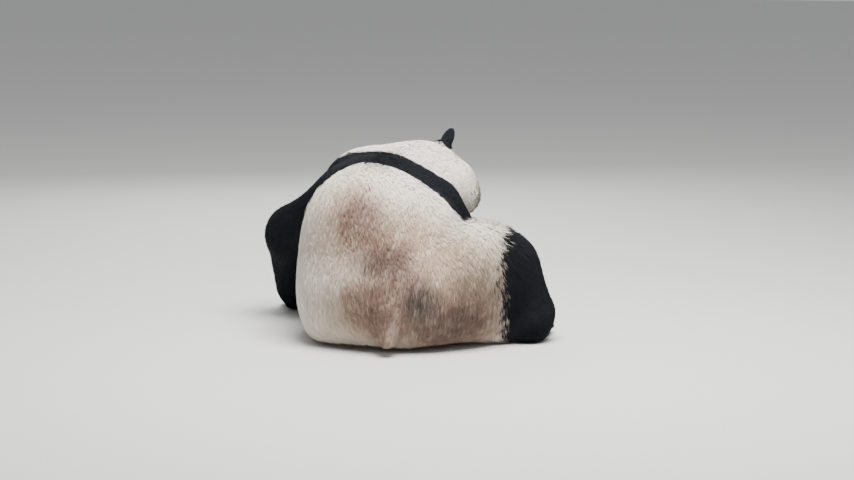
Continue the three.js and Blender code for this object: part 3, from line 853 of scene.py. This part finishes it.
# %% Lie of the coat
NEAR, NEAR_EAR = 0.030, 0.006
DOWN = -UP


def lie(p, normal):
    """Unit directions along the skin: regional directions weighted by exp(-distance / NEAR), plus gravity."""
    regions = [
        (head, unit(p - NOSE_PLACE) + 0.5 * unit(NECK_BASE - NECK_TOP), 1),
        (trunk_mass, unit(TAIL_ROOT - NECK_BASE) + 0.55 * DOWN, 1),
        (neck_mass, NECK_BASE - NECK_TOP + 0.4 * DOWN, 1),
        (tail_mass, TAIL_TIP - TAIL_ROOT, 2),
    ]
    for limb in LIMBS.values():
        regions += [(part, way, 1) for part, way in zip(limb["bars"], limb["ways"], strict=True)]
        regions.append((limb["paw"]["distance"], limb["paw"]["axes"][1], 2))
    total = 0
    for distance, way, times in regions:
        total = total + times * np.exp(-np.clip(distance(p), -0.05, 1) / NEAR)[:, None] * unit(way)
    for ear in ears.values():
        weight = np.exp(-np.clip(ear["disc"](p), -0.01, 1) / NEAR_EAR)[:, None]
        total = total + 3 * weight * unit(ear["up"] + 0.8 * unit(p - ear["spot"]))
    return unit(total - (total * normal).sum(1, keepdims=True) * normal)


# Where the coat stands up: a place, a reach in mm, and how upright it is there.
RUFFLES = [
    (at(-288, 122, 385), 62, 1.0),  # over the right hip
    (at(-325, 40, 300), 90, 0.3),  # where the white flank meets the black thigh
    (at(-345, -20, 180), 90, 0.15),
    (at(-175, 560, 400), 60, 0.35),  # right cheek
]


def ruffled(p):
    """How upright the coat stands: the strongest of some bells, exp(-(distance / reach)²)."""
    strength = np.zeros(len(p))
    for place, reach, most in RUFFLES:
        strength = np.maximum(strength, most * np.exp(-np.sum(((p - place) / (reach * MM)) ** 2, axis=1)))
    return strength


# %% [markdown]
# ## Tufts
# Hair can be drawn as particle hair or curves, but only meshes can be carried to other programs, so each
# tuft here is a small closed blade: three sides, thin, bent over once on the long coat and straight on the
# short pile. Its root is on the skin and its tip near the outline, so the coat's depth is real.

# %% Roots on the skin
skin_mesh.polygons.foreach_set("use_smooth", np.ones(len(skin_mesh.polygons), bool))
bpy.context.view_layer.objects.active = skin
skin.select_set(True)
bpy.ops.object.mode_set(mode="EDIT")
bpy.ops.mesh.select_all(action="SELECT")
bpy.ops.mesh.quads_convert_to_tris()
bpy.ops.uv.smart_project(angle_limit=math.radians(66), island_margin=0.002)
bpy.ops.object.mode_set(mode="OBJECT")
skin_mesh.uv_layers[0].name = "OFBake"
skin_mesh.calc_loop_triangles()
corner_places = read(skin_mesh.vertices, "co", 3)
corner_of = read(skin_mesh.loop_triangles, "vertices", 3, np.int32)
loop_of = read(skin_mesh.loop_triangles, "loops", 3, np.int32)
skin_uv = read(skin_mesh.uv_layers["OFBake"].data, "uv", 2)
corner_normals = read(skin_mesh.vertex_normals, "vector", 3)
first, second, third = (corner_places[corner_of[:, k]] for k in range(3))
facing = np.cross(second - first, third - first)
areas = np.linalg.norm(facing, axis=1) / 2
middles = corner_places[corner_of].mean(1)
print("skin area m2:", round(areas.sum(), 3), "triangles:", len(areas))

LONG, SHORT = 0.0105, 0.006  # a coat deeper than LONG is all long tufts, and less deep than SHORT all short
SHARE = 1.0  # of the tufts, while trying things out
LONG_TUFTS, SHORT_TUFTS = 182_000 * SHARE, 92_000 * SHARE
PAD_COAT = 0.012  # pads are bare only where the coat is thinner than this


def to_lips(p, mouth_half):
    """Distance from the philtrum's line, or from the mouth's less half its width."""
    return np.minimum(to_line(mouth_line, p) - mouth_half, to_line(philtrum_line, p))


depth_there = coat_depth(middles)
longness = smooth(depth_there, SHORT, LONG)
bare = (nose_distance(middles) < 0.0006) | ((pad_distance(middles) < 0.0015) & (depth_there < PAD_COAT))
bare |= (middles[:, 2] < 0.03) & (facing[:, 2] < -1.6 * areas)  # sat on
near = near_head(middles)
bare[near] |= to_lips(middles[near], 0.0024) < 0.0018
for eye in eyes.values():
    x, y, z = eye_place(eye, middles)
    bare |= (np.hypot(x / (LID_LENGTH + 0.0016), y / (LID_HEIGHT + 0.0016)) < 1) & (z > 0)


print("share of the skin that is bare:", round(areas[bare].sum() / areas.sum(), 3))


def sow(wanted, weight):
    """Roots in each triangle in proportion to its area and weight: triangle numbers and corner shares."""
    expected = areas * weight * ~bare
    expected *= wanted / expected.sum()
    counts = np.floor(expected + random.random(len(expected))).astype(int)
    triangle = np.repeat(np.arange(len(counts)), counts)
    u, v = random.random((2, len(triangle)))
    over = u + v > 1
    u, v = np.where(over, 1 - u, u), np.where(over, 1 - v, v)
    return triangle, np.stack([1 - u - v, u, v], 1)


# %% Shape of a tuft
# Faces, and for each corner its place on the tuft's own patch of the unwrap and how near it is to the tip.
# The length and width are a share of the coat's depth and a part in metres that is added to it.
BLADE = {
    True: {  # root, then left, right and ridge at the bend, and the tip
        "faces": [(0, 1, 2), (0, 2, 3), (0, 3, 1), (1, 4, 2), (2, 4, 3), (1, 3, 4)],
        "patch": [(0, 0), (-0.5, 0.5), (0.5, 0.5), (0.05, 0.42), (0, 1)],
        "tip": [0, 0.5, 0.5, 0.5, 1],
        "length": (1.9, 0.007),
        "width": (0.09, 0.0026),
    },
    False: {  # left, right and ridge at the root, and the tip
        "faces": [(0, 1, 2), (0, 3, 1), (1, 3, 2), (0, 2, 3)],
        "patch": [(-0.5, 0.15), (0.5, 0.15), (0, 0), (0.05, 1)],
        "tip": [0, 0, 0, 1],
        "length": (1.1, 0.0045),
        "width": (0.10, 0.0013),
    },
}
PATCH = 0.003  # size of a tuft's own patch on the unwrap
CLUMP, GATHERED = 0.017, 0.18  # size of a clump of long tufts, and how far their tips draw together
BEND_AT, COLOUR_AT = 0.45, 0.65  # how far along a long tuft bends, and a tuft takes its colour
SUNK, RIDGE = 0.0012, 0.42  # a root's depth under the skin, and a ridge's height as a share of width
RAISED, DRAWN_BACK = 0.026, 0.012  # how far the tips of upright hair stand up, and move back
clump_turn = np.linalg.qr(random.normal(size=(3, 3)))[0]


def gather(p, tips):
    """The mean tip of each tuft's clump: tips in one cell of a turned, wavy grid are averaged."""
    warped = p @ clump_turn + waviness(p, 0.03)[:, None] * 0.010
    cells = np.floor(warped / CLUMP).astype(int)
    _, clump, size = np.unique(cells, axis=0, return_inverse=True, return_counts=True)
    clump = clump.ravel()
    mean = np.stack([np.bincount(clump, tips[:, k]) / size for k in range(3)], 1)
    return mean[clump]


# %% Growing the tufts
def blades(triangle, share, bent):
    """Roots, corners, corner normals, unwrap places and values of many tufts, worked out all at once."""
    kind = BLADE[bent]
    corners = corner_of[triangle]
    root = (corner_places[corners] * share[..., None]).sum(1)
    normal = unit((corner_normals[corners] * share[..., None]).sum(1))
    uv = (skin_uv[loop_of[triangle]] * share[..., None]).sum(1)
    count = len(root)
    depth = coat_depth(root)
    swing = 0.30 * waviness(root, 0.06) + 0.13 * random.normal(size=count)
    way = lie(root, normal)
    way = way * np.cos(swing)[:, None] + np.cross(normal, way) * np.sin(swing)[:, None]
    grown = random.uniform(0.7, 1.2, count)
    spread = random.uniform(0.7, 1.3, count)
    if not bent:
        spread = random.uniform(0.7, 1.3, count)
    length = (depth * kind["length"][0] + kind["length"][1]) * grown
    width = (depth * kind["width"][0] + kind["width"][1]) * spread / math.sqrt(SHARE)
    short_of = random.uniform(-0.05, 0.30, count)  # share of the depth that the tip stays inside the outline
    tip = root + way * length[:, None] + normal * depth[:, None] * 0.7
    for _ in range(2):
        tip = tip - normal * (outline(tip) + depth * short_of)[:, None]
    tip = tip + random.normal(size=(count, 3)) * depth[:, None] * 0.05
    raised = (ruffled(root) * random.random(count))[:, None]
    tip = tip + (normal * RAISED - way * DRAWN_BACK) * raised
    if bent:
        tip = toward(tip, gather(root, tip), GATHERED)
        bend = toward(root, tip, BEND_AT)
        lift = outline(bend) + depth * (1 - 0.74 * (1 - short_of))
        bend = bend - normal * lift[:, None]
    across = unit(np.cross(way, normal))
    half, ridge = across * width[:, None] / 2, normal * width[:, None] * RIDGE
    sunk = root - normal * SUNK
    if bent:
        places = [sunk, bend - half, bend + half, bend + ridge]
        leans = [normal, normal - 0.3 * across, normal + 0.3 * across, normal + 0.1 * way]
    else:
        places = [sunk - half, sunk + half, root + ridge]
        leans = [normal - 0.3 * across, normal + 0.3 * across, normal]
    places, leans = np.stack([*places, tip], 1), np.stack([*leans, normal + 0.3 * way], 1)
    leans = leans + random.normal(size=(count, 1, 3)) * 0.09
    places[..., 2] = np.maximum(places[..., 2], 2 * FLOOR_GAP)
    values = coat_values(toward(root, tip, COLOUR_AT))
    crossed = random.uniform(-0.3, 0.3, count)  # black and white hairs cross at the markings' edges
    values["black"] = smooth(values["black"] + crossed * (values["black"] > 0.01), 0.3, 0.7)
    values["tone"] = np.clip(random.normal(0.5, 0.22, count) + 0.12 * waviness(root, 0.02), 0, 1)
    return root, places, unit(leans), np.clip(uv, PATCH, 1 - PATCH), values


# %% Meshes of tufts
def store(mesh, name, values):
    """Puts one number per vertex on a mesh."""
    data = mesh.attributes.new(name, "FLOAT", "POINT").data
    data.foreach_set("value", np.broadcast_to(values, len(mesh.vertices)).astype(np.float32))


def coat_piece(name, places, leans, uv, values, bent):
    """One mesh of many blades, with its unwrap, normals and values."""
    kind = BLADE[bent]
    count, corner_count = places.shape[:2]
    faces = np.array(kind["faces"])
    loops = (np.arange(count)[:, None] * corner_count + faces.ravel()).ravel()
    mesh = bpy.data.meshes.new(name)
    mesh.vertices.add(count * corner_count)
    mesh.vertices.foreach_set("co", places.ravel())
    mesh.loops.add(len(loops))
    mesh.loops.foreach_set("vertex_index", loops)
    mesh.polygons.add(count * len(faces))
    mesh.polygons.foreach_set("loop_start", np.arange(0, len(loops), 3))
    mesh.polygons.foreach_set("use_smooth", np.ones(count * len(faces), bool))
    mesh.update(calc_edges=True)
    patch = np.array(kind["patch"])[faces.ravel()] * PATCH
    mesh.uv_layers.new(name="OFBake").data.foreach_set("uv", (uv[:, None] + patch).ravel())
    for key, value in values.items():
        store(mesh, key, np.repeat(value, corner_count))
    # How near each corner is to the tip, which sets how much painted shade it takes towards the root.
    store(mesh, "tip", np.tile(kind["tip"], count))
    mesh.normals_split_custom_set_from_vertices(leans.reshape(-1, 3).tolist())
    print(name, count, "tufts", count * len(faces), "triangles")
    return to_scene(name, mesh)


# %% The coat, region by region
MOST_TRIANGLES = 190_000


def split(chosen, root, most):
    """Parts one region into pieces of at most so many tufts, halving it across its longest way each time."""
    if len(chosen) <= most:
        return [chosen]
    longest = np.argmax(np.ptp(root[chosen], 0))
    order = chosen[np.argsort(root[chosen][:, longest])]
    half = len(order) // 2
    return split(order[:half], root, most) + split(order[half:], root, most)


coat = []
# The head's long tufts are short, so it needs more of them. Short hair is finest on the face.
of_head = longness * (1 + 0.7 * (head(middles) < 0.03))
of_face = (1 - longness) * (1 + 1.2 * (np.linalg.norm(middles - NOSE_PLACE, axis=1) < 0.20))
for bent, wanted, weight in ((True, LONG_TUFTS, of_head), (False, SHORT_TUFTS, of_face)):
    root, places, leans, uv, values = blades(*sow(wanted, weight), bent)
    regions = {"head": np.minimum(head(root), ear_distance(root)), "trunk": trunk(root)}
    regions.update({name: limb["distance"](root) for name, limb in LIMBS.items()})
    owner = np.argmin(list(regions.values()), axis=0)
    most = MOST_TRIANGLES // len(BLADE[bent]["faces"])
    for i, region in enumerate(regions):
        parts = split(np.flatnonzero(owner == i), root, most)
        for number, part in enumerate(parts, 1):
            if len(part) == 0:
                continue
            name = f"{'coat' if bent else 'pile'}_{region}" + (f"_{number}" if len(parts) > 1 else "")
            of_part = {key: value[part] for key, value in values.items()}
            coat.append(coat_piece(name, places[part], leans[part], uv[part], of_part, bent))

# %% [markdown]
# ## Colour of the coat
# White hair is cream at its tip, and white and black hair are both painted duller and darker towards the root:
# painted shade deep in the coat. Black hair is also painted faintly blue, a painted sheen, and dirt tints the
# white.
# One node group turns the values on the mesh into that colour. The skin and the tufts could each have nodes of
# their own, but with one group they always agree.

# %% Making materials
def wire(tree, value, socket):
    """Links a socket to an input, or sets the input's value."""
    if isinstance(value, bpy.types.NodeSocket):
        tree.links.new(value, socket)
    else:
        socket.default_value = value


def add(tree, kind, values, **settings):
    """A node of a kind, with its settings, and with its inputs linked or set by name or number."""
    node = tree.nodes.new("ShaderNode" + kind)
    for key, value in settings.items():
        setattr(node, key, value)
    for key, value in values.items():
        wire(tree, value, node.inputs[key])
    return node


def mix(tree, factor, a, b):
    """A mix of two colours."""
    node = add(tree, "Mix", {}, data_type="RGBA")
    named = {socket.identifier: socket for socket in node.inputs}
    for identifier, value in (("Factor_Float", factor), ("A_Color", a), ("B_Color", b)):
        wire(tree, value, named[identifier])
    return next(socket for socket in node.outputs if socket.identifier == "Result_Color")


def work_out(tree, operation, *values):
    """The result of one sum."""
    return add(tree, "Math", dict(enumerate(values)), operation=operation).outputs[0]


def in_place(tree, kind, size, **values):
    """A pattern on the piece's own coordinates, with features about as large as asked, in metres."""
    place = add(tree, "TexCoord", {}).outputs["Object"]
    return add(tree, kind, {"Scale": 1 / size, "Vector": place, **values}).outputs


def noise(tree, size, detail=3.0):
    """Noise with features about as large as asked."""
    return in_place(tree, "TexNoise", size, Detail=detail)["Fac"]


def stored(tree, name):
    """A value that each corner of the mesh holds."""
    return add(tree, "Attribute", {}, attribute_name=name).outputs["Fac"]


def stretched(tree, name, low, high):
    """A stored value, stretched so that low gives 0 and high gives 1."""
    values = {"Value": stored(tree, name), "From Min": low, "From Max": high}
    return add(tree, "MapRange", values).outputs["Result"]


def bumpy(tree, shader, height, depth, strength=1.0):
    """Bump on a material, from a height, a depth in metres and a strength."""
    bump = add(tree, "Bump", {"Strength": strength, "Distance": depth, "Height": height})
    wire(tree, bump.outputs["Normal"], shader.inputs["Normal"])


def new_material(name, values):
    """A material, its node tree and its shader, with some of the shader's inputs set."""
    material = bpy.data.materials.new(name)
    material.use_nodes = True
    shader = material.node_tree.nodes["Principled BSDF"]
    for key, value in values.items():
        shader.inputs[key].default_value = value
    return material, material.node_tree, shader


# %% Colour of the coat
# The root colours are darker than the tip colours: painted shade deep in the coat.
WHITE_TIP, WHITE_ROOT_SHADED = (0.83, 0.765, 0.665, 1), (0.64, 0.57, 0.47, 1)
# Both black colours are painted faintly blue: a painted sheen.
BLACK_TIP_SHEEN, BLACK_ROOT_SHADED_SHEEN = (0.0105, 0.0115, 0.0145, 1), (0.0040, 0.0045, 0.0060, 1)
BARE_COLOUR = (0.020, 0.016, 0.016, 1)
STAIN_COLOURS = {
    "tan": (0.41, 0.300, 0.210, 1),
    "rust": (0.215, 0.125, 0.098, 1),
    "soot": (0.070, 0.056, 0.048, 1),
}
COAT_VALUES = {"black": 0.0, "rust": 0.0, "soot": 0.0, "tan": 0.0, "tone": 0.5, "tip": 0.5}
coat_group = bpy.data.node_groups.new("coat_colour", "ShaderNodeTree")
for name, start in COAT_VALUES.items():
    socket = coat_group.interface.new_socket(name, in_out="INPUT", socket_type="NodeSocketFloat")
    socket.default_value = start
for name, kind in (("Colour", "NodeSocketColor"), ("Roughness", "NodeSocketFloat")):
    coat_group.interface.new_socket(name, in_out="OUTPUT", socket_type=kind)
given = coat_group.nodes.new("NodeGroupInput").outputs
wanted = coat_group.nodes.new("NodeGroupOutput").inputs
# White hair is darker towards the root: painted shade deep in the coat.
white = mix(coat_group, given["tip"], WHITE_ROOT_SHADED, WHITE_TIP)
for name, colour in STAIN_COLOURS.items():
    white = mix(coat_group, given[name], white, colour)
# Black hair is darker towards the root: painted shade deep in the coat.
black = mix(coat_group, given["tip"], BLACK_ROOT_SHADED_SHEEN, BLACK_TIP_SHEEN)
both = mix(coat_group, given["black"], white, black)
blotch = work_out(coat_group, "MULTIPLY_ADD", noise(coat_group, 0.035), 0.22, 0.89)
shade = work_out(coat_group, "MULTIPLY_ADD", given["tone"], 0.18, 0.90)
shade = work_out(coat_group, "MULTIPLY", blotch, shade)
shaded = add(coat_group, "VectorMath", {0: both, "Scale": shade}, operation="SCALE")
wire(coat_group, shaded.outputs[0], wanted["Colour"])
wire(coat_group, work_out(coat_group, "MULTIPLY_ADD", given["black"], -0.06, 0.86), wanted["Roughness"])


def coat_material(name):
    """A material whose coat_colour group reads the values on the mesh."""
    material, tree, shader = new_material(name, {"Specular IOR Level": 0.08})
    group = add(tree, "Group", {value: stored(tree, value) for value in COAT_VALUES}, node_tree=coat_group)
    wire(tree, group.outputs["Colour"], shader.inputs["Base Color"])
    wire(tree, group.outputs["Roughness"], shader.inputs["Roughness"])
    return material, tree, shader, group.outputs["Colour"]


fur, *_ = coat_material("fur")
skin_material, tree, shader, coat_colour = coat_material("furred_skin")
wire(tree, mix(tree, stored(tree, "bare"), coat_colour, BARE_COLOUR), shader.inputs["Base Color"])
wire(tree, work_out(tree, "MULTIPLY_ADD", stored(tree, "bare"), -0.32, 0.80), shader.inputs["Roughness"])
bumpy(tree, shader, noise(tree, 0.0022, 5.0), 0.0015, 0.5)
print("nodes in the coat's group:", len(coat_group.nodes))

# %% Values and material on the skin
dark = 1 - smooth(pad_distance(corner_places), 0.0005, 0.003)
dark[coat_depth(corner_places) > PAD_COAT] = 0
near = near_head(corner_places)
dark[near] = np.maximum(dark[near], 1 - smooth(to_lips(corner_places[near], 0.002), 0.0018, 0.0036))
for eye in eyes.values():
    lid = np.linalg.norm(corner_places - eye["centre"], axis=1)
    dark = np.maximum(dark, 1 - smooth(lid, 0.0145, 0.0185))
# The skin takes the coat's colour part way towards the root, so it carries the same painted shade.
on_skin = {**coat_values(corner_places), "tone": 0.5, "tip": 0.45, "bare": dark}
for name, value in on_skin.items():
    store(skin_mesh, name, value)
print("mean values on the skin:", {name: round(float(np.mean(value)), 2) for name, value in on_skin.items()})
skin_mesh.materials.append(skin_material)
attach(skin, "root")
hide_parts(*[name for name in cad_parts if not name.startswith(("claw_", "eye_", "nose"))])
for piece in coat:
    piece.data.materials.append(fur)
    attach(piece, "root")
    "black_fur" if "leg" in piece.name or "arm" in piece.name else "white_fur"

# %% [markdown]
# ## Eyes, nose and claws
# A giant panda has small, wet, dark brown eyes, a broad leathery nose with nostrils that open sideways, and
# strong claws that hook down from every toe. A ball of glass with a painted back would suit a single museum
# piece. Here the ball itself carries the pupil and iris, under a clear gloss, so that it exports whole.

# %% Eyes
IRIS, CORNEA_RISE = 0.0066, 0.0006
PUPIL_WIDE, PUPIL_HIGH = 0.0017, 0.0027  # half sizes of an upright, rounded slit
PUPIL_COLOUR, IRIS_COLOUR = (0.001, 0.001, 0.001, 1), (0.022, 0.009, 0.004, 1)
WHITE_OF_EYE = (0.020, 0.012, 0.010, 1)


def shell(name, rings, first, last):
    """A closed piece: rings of corners with quads between them, and fans to a point at each end."""
    rows, around = rings.shape[:2]
    i = np.arange(around)
    j = (i + 1) % around
    row = np.arange(rows - 1)[:, None] * around
    quads = np.stack([row + i, row + j, row + around + j, row + around + i], -1).reshape(-1, 4)
    hub, end = rows * around, (rows - 1) * around
    fans = [np.stack([j, i, 0 * i + hub], 1), np.stack([i + end, j + end, 0 * i + hub + 1], 1)]
    faces = quads.tolist() + fans[0].tolist() + fans[1].tolist()
    return solid(name, np.concatenate([rings.reshape(-1, 3), [first, last]]), faces)


eye_material, tree, shader = new_material(
    "eye", {"Roughness": 0.08, "Coat Weight": 0.10, "Coat Roughness": 0.04, "Specular IOR Level": 0.12}
)
iris = mix(tree, work_out(tree, "MULTIPLY", noise(tree, 0.0012), 0.8), IRIS_COLOUR, PUPIL_COLOUR)
iris = mix(tree, stretched(tree, "iris", 0.86, 1.02), iris, WHITE_OF_EYE)
wire(tree, mix(tree, stretched(tree, "pupil", 0.9, 1.1), PUPIL_COLOUR, iris), shader.inputs["Base Color"])
turns = np.linspace(0, 2 * math.pi, 40, endpoint=False)[:, None]
back_to_front = np.linspace(math.pi, 0, 34)[1:-1, None, None]
radius = EYE_RADIUS + CORNEA_RISE * np.exp(-((back_to_front / 0.5) ** 2))
for side, eye in eyes.items():
    ahead = eye["ahead"]
    around = np.cos(turns) * np.cross(eye["up"], ahead) + np.sin(turns) * eye["up"]
    rings = eye["centre"] + radius * np.sin(back_to_front) * around + radius * np.cos(back_to_front) * ahead
    ends = eye["centre"] - ahead * EYE_RADIUS, eye["centre"] + ahead * (EYE_RADIUS + CORNEA_RISE)
    ball = shell(f"ball_{side}", rings, *ends)
    x, y, z = eye_place(eye, read(ball.data.vertices, "co", 3))
    behind = 9.0 * (z < 0)
    store(ball.data, "iris", np.hypot(x, y) / IRIS + behind)
    store(ball.data, "pupil", np.hypot(x / PUPIL_WIDE, y / PUPIL_HIGH) + behind)
    ball.data.materials.append(eye_material)
    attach(ball, "root")
    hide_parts(f"eye_{side}")

# %% Nose
NOSE_CELL, COBBLE = 0.0010, 0.0013
places, quads = surface_net(nose_distance, NOSE_PLACE - 0.032, NOSE_PLACE + 0.032, NOSE_CELL)
nose_pad = solid("nose_pad", settle(nose_distance, places, NOSE_CELL * 0.3, 2), quads.tolist())
nose_material, tree, shader = new_material(
    "wet_leather",
    {"Roughness": 0.44, "Coat Weight": 0.04, "Coat Roughness": 0.25, "Specular IOR Level": 0.12},
)
leather = mix(tree, noise(tree, 0.006), (0.004, 0.0035, 0.0035, 1), (0.010, 0.008, 0.0075, 1))
wire(tree, leather, shader.inputs["Base Color"])
cobbles = in_place(tree, "TexVoronoi", COBBLE)["Distance"]
bumpy(tree, shader, work_out(tree, "SUBTRACT", 1.0, cobbles), 0.0004)
nose_pad.data.materials.append(nose_material)
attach(nose_pad, "root")
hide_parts("nose")

# %% Claws
CLAW_LONG, CLAW_THICK, CLAW_HOOK, CLAW_RISE = 0.035, 0.006, 0.0085, 0.003
ROWS, AROUND = 18, 16
HORN_ROOT, HORN_TIP = (0.024, 0.018, 0.014, 1), (0.155, 0.120, 0.085, 1)
HORN_STREAK = (0.015, 0.012, 0.010, 1)
horn_shine = {"Roughness": 0.34, "Coat Weight": 0.3, "Coat Roughness": 0.3}
claw_material, tree, shader = new_material("horn", horn_shine)
streak = stretched(tree, "streak", -1, 1)
horn = mix(tree, stretched(tree, "along", 0.35, 1.0), HORN_ROOT, HORN_TIP)
horn = mix(tree, work_out(tree, "MULTIPLY", streak, 0.45), horn, HORN_STREAK)
wire(tree, horn, shader.inputs["Base Color"])
bumpy(tree, shader, streak, 0.0003, 0.6)


def claw_rings(toe):
    """Oval rings with a keel, thinning as 1 - 0.86·share^1.5, along an arc that drops by hook·share²."""
    share = np.linspace(0, 0.985, ROWS)[:, None, None]
    turn = np.linspace(0, 2 * math.pi, AROUND, endpoint=False)[None, :, None]
    radius = CLAW_THICK * (1 - 0.86 * share**1.5)
    across = unit(np.cross(toe["above"], toe["way"]))
    keel = 1 + 0.16 * np.maximum(-np.sin(turn), 0) ** 3
    middle = toe["tip"] + toe["way"] * share * CLAW_LONG + toe["above"] * (CLAW_RISE - CLAW_HOOK * share**2)
    return middle + radius * (toe["above"] * np.sin(turn) * 1.12 * keel + across * np.cos(turn) * 0.78)


for limb in LIMBS.values():
    bpy.ops.object.select_all(action="DESELECT")
    parts = []
    for i, toe in enumerate(limb["paw"]["toes"], 1):
        first = toe["tip"] + toe["above"] * CLAW_RISE
        last = toe["tip"] + toe["way"] * CLAW_LONG + toe["above"] * (CLAW_RISE - CLAW_HOOK)
        part = shell(f"claw_part_{i}", claw_rings(toe), first, last)
        along = np.append(np.repeat(np.linspace(0, 1, ROWS), AROUND), [0, 1])
        ribs = np.sin(np.arange(AROUND) * 2.4 + i) * 0.7 + random.uniform(-0.3, 0.3, AROUND)
        store(part.data, "along", along + random.uniform(-0.05, 0.05))
        store(part.data, "streak", np.append(np.tile(ribs, ROWS), [0, 0]))
        part.select_set(True)
        parts.append(part)
    claws = bpy.context.view_layer.objects.active = parts[0]
    bpy.ops.object.join()
    claws.name = claws.data.name = f"claws_{limb['end']}"
    claws.data.materials.append(claw_material)
    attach(claws, "root")
    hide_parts(*[f"claw_{limb['end']}_{i}" for i in range(1, TOES + 1)])

# %% [markdown]
# ## Light and floor
# Soft light from a large lamp overhead shows the roundness of the back as an overcast sky does. Weaker ones
# from the side and the front keep form in the black coat and the face. A small hard lamp would pick out
# single tufts and lose the form.

# %% Floor and lights
bpy.ops.mesh.primitive_plane_add(size=30)
floor = bpy.context.object
floor.name = "floor"
floor_material, *_ = new_material("floor", {"Base Color": (0.56, 0.55, 0.53, 1), "Roughness": 0.9})
floor.data.materials.append(floor_material)


def lamp(name, place, size, power):
    """A square lamp aimed at the middle of the animal."""
    light = bpy.data.lights.new(name, "AREA")
    light.energy, light.size = power, size
    holder = to_scene(name, light)
    holder.location = place
    holder.rotation_euler = (Vector((0, -0.1, 0.3)) - Vector(place)).to_track_quat("-Z", "Y").to_euler()


lamp("overhead", (-0.6, 0.7, 3.4), 2.2, 420)
lamp("side", (-2.6, 1.8, 1.6), 1.8, 14)
lamp("front", (0.8, -3.0, 2.0), 2.4, 70)
world = bpy.data.worlds.new("studio")
world.use_nodes = True
sky = world.node_tree.nodes["Background"].inputs
sky["Color"].default_value, sky["Strength"].default_value = (0.80, 0.82, 0.85, 1), 0.62
bpy.context.scene.world = world
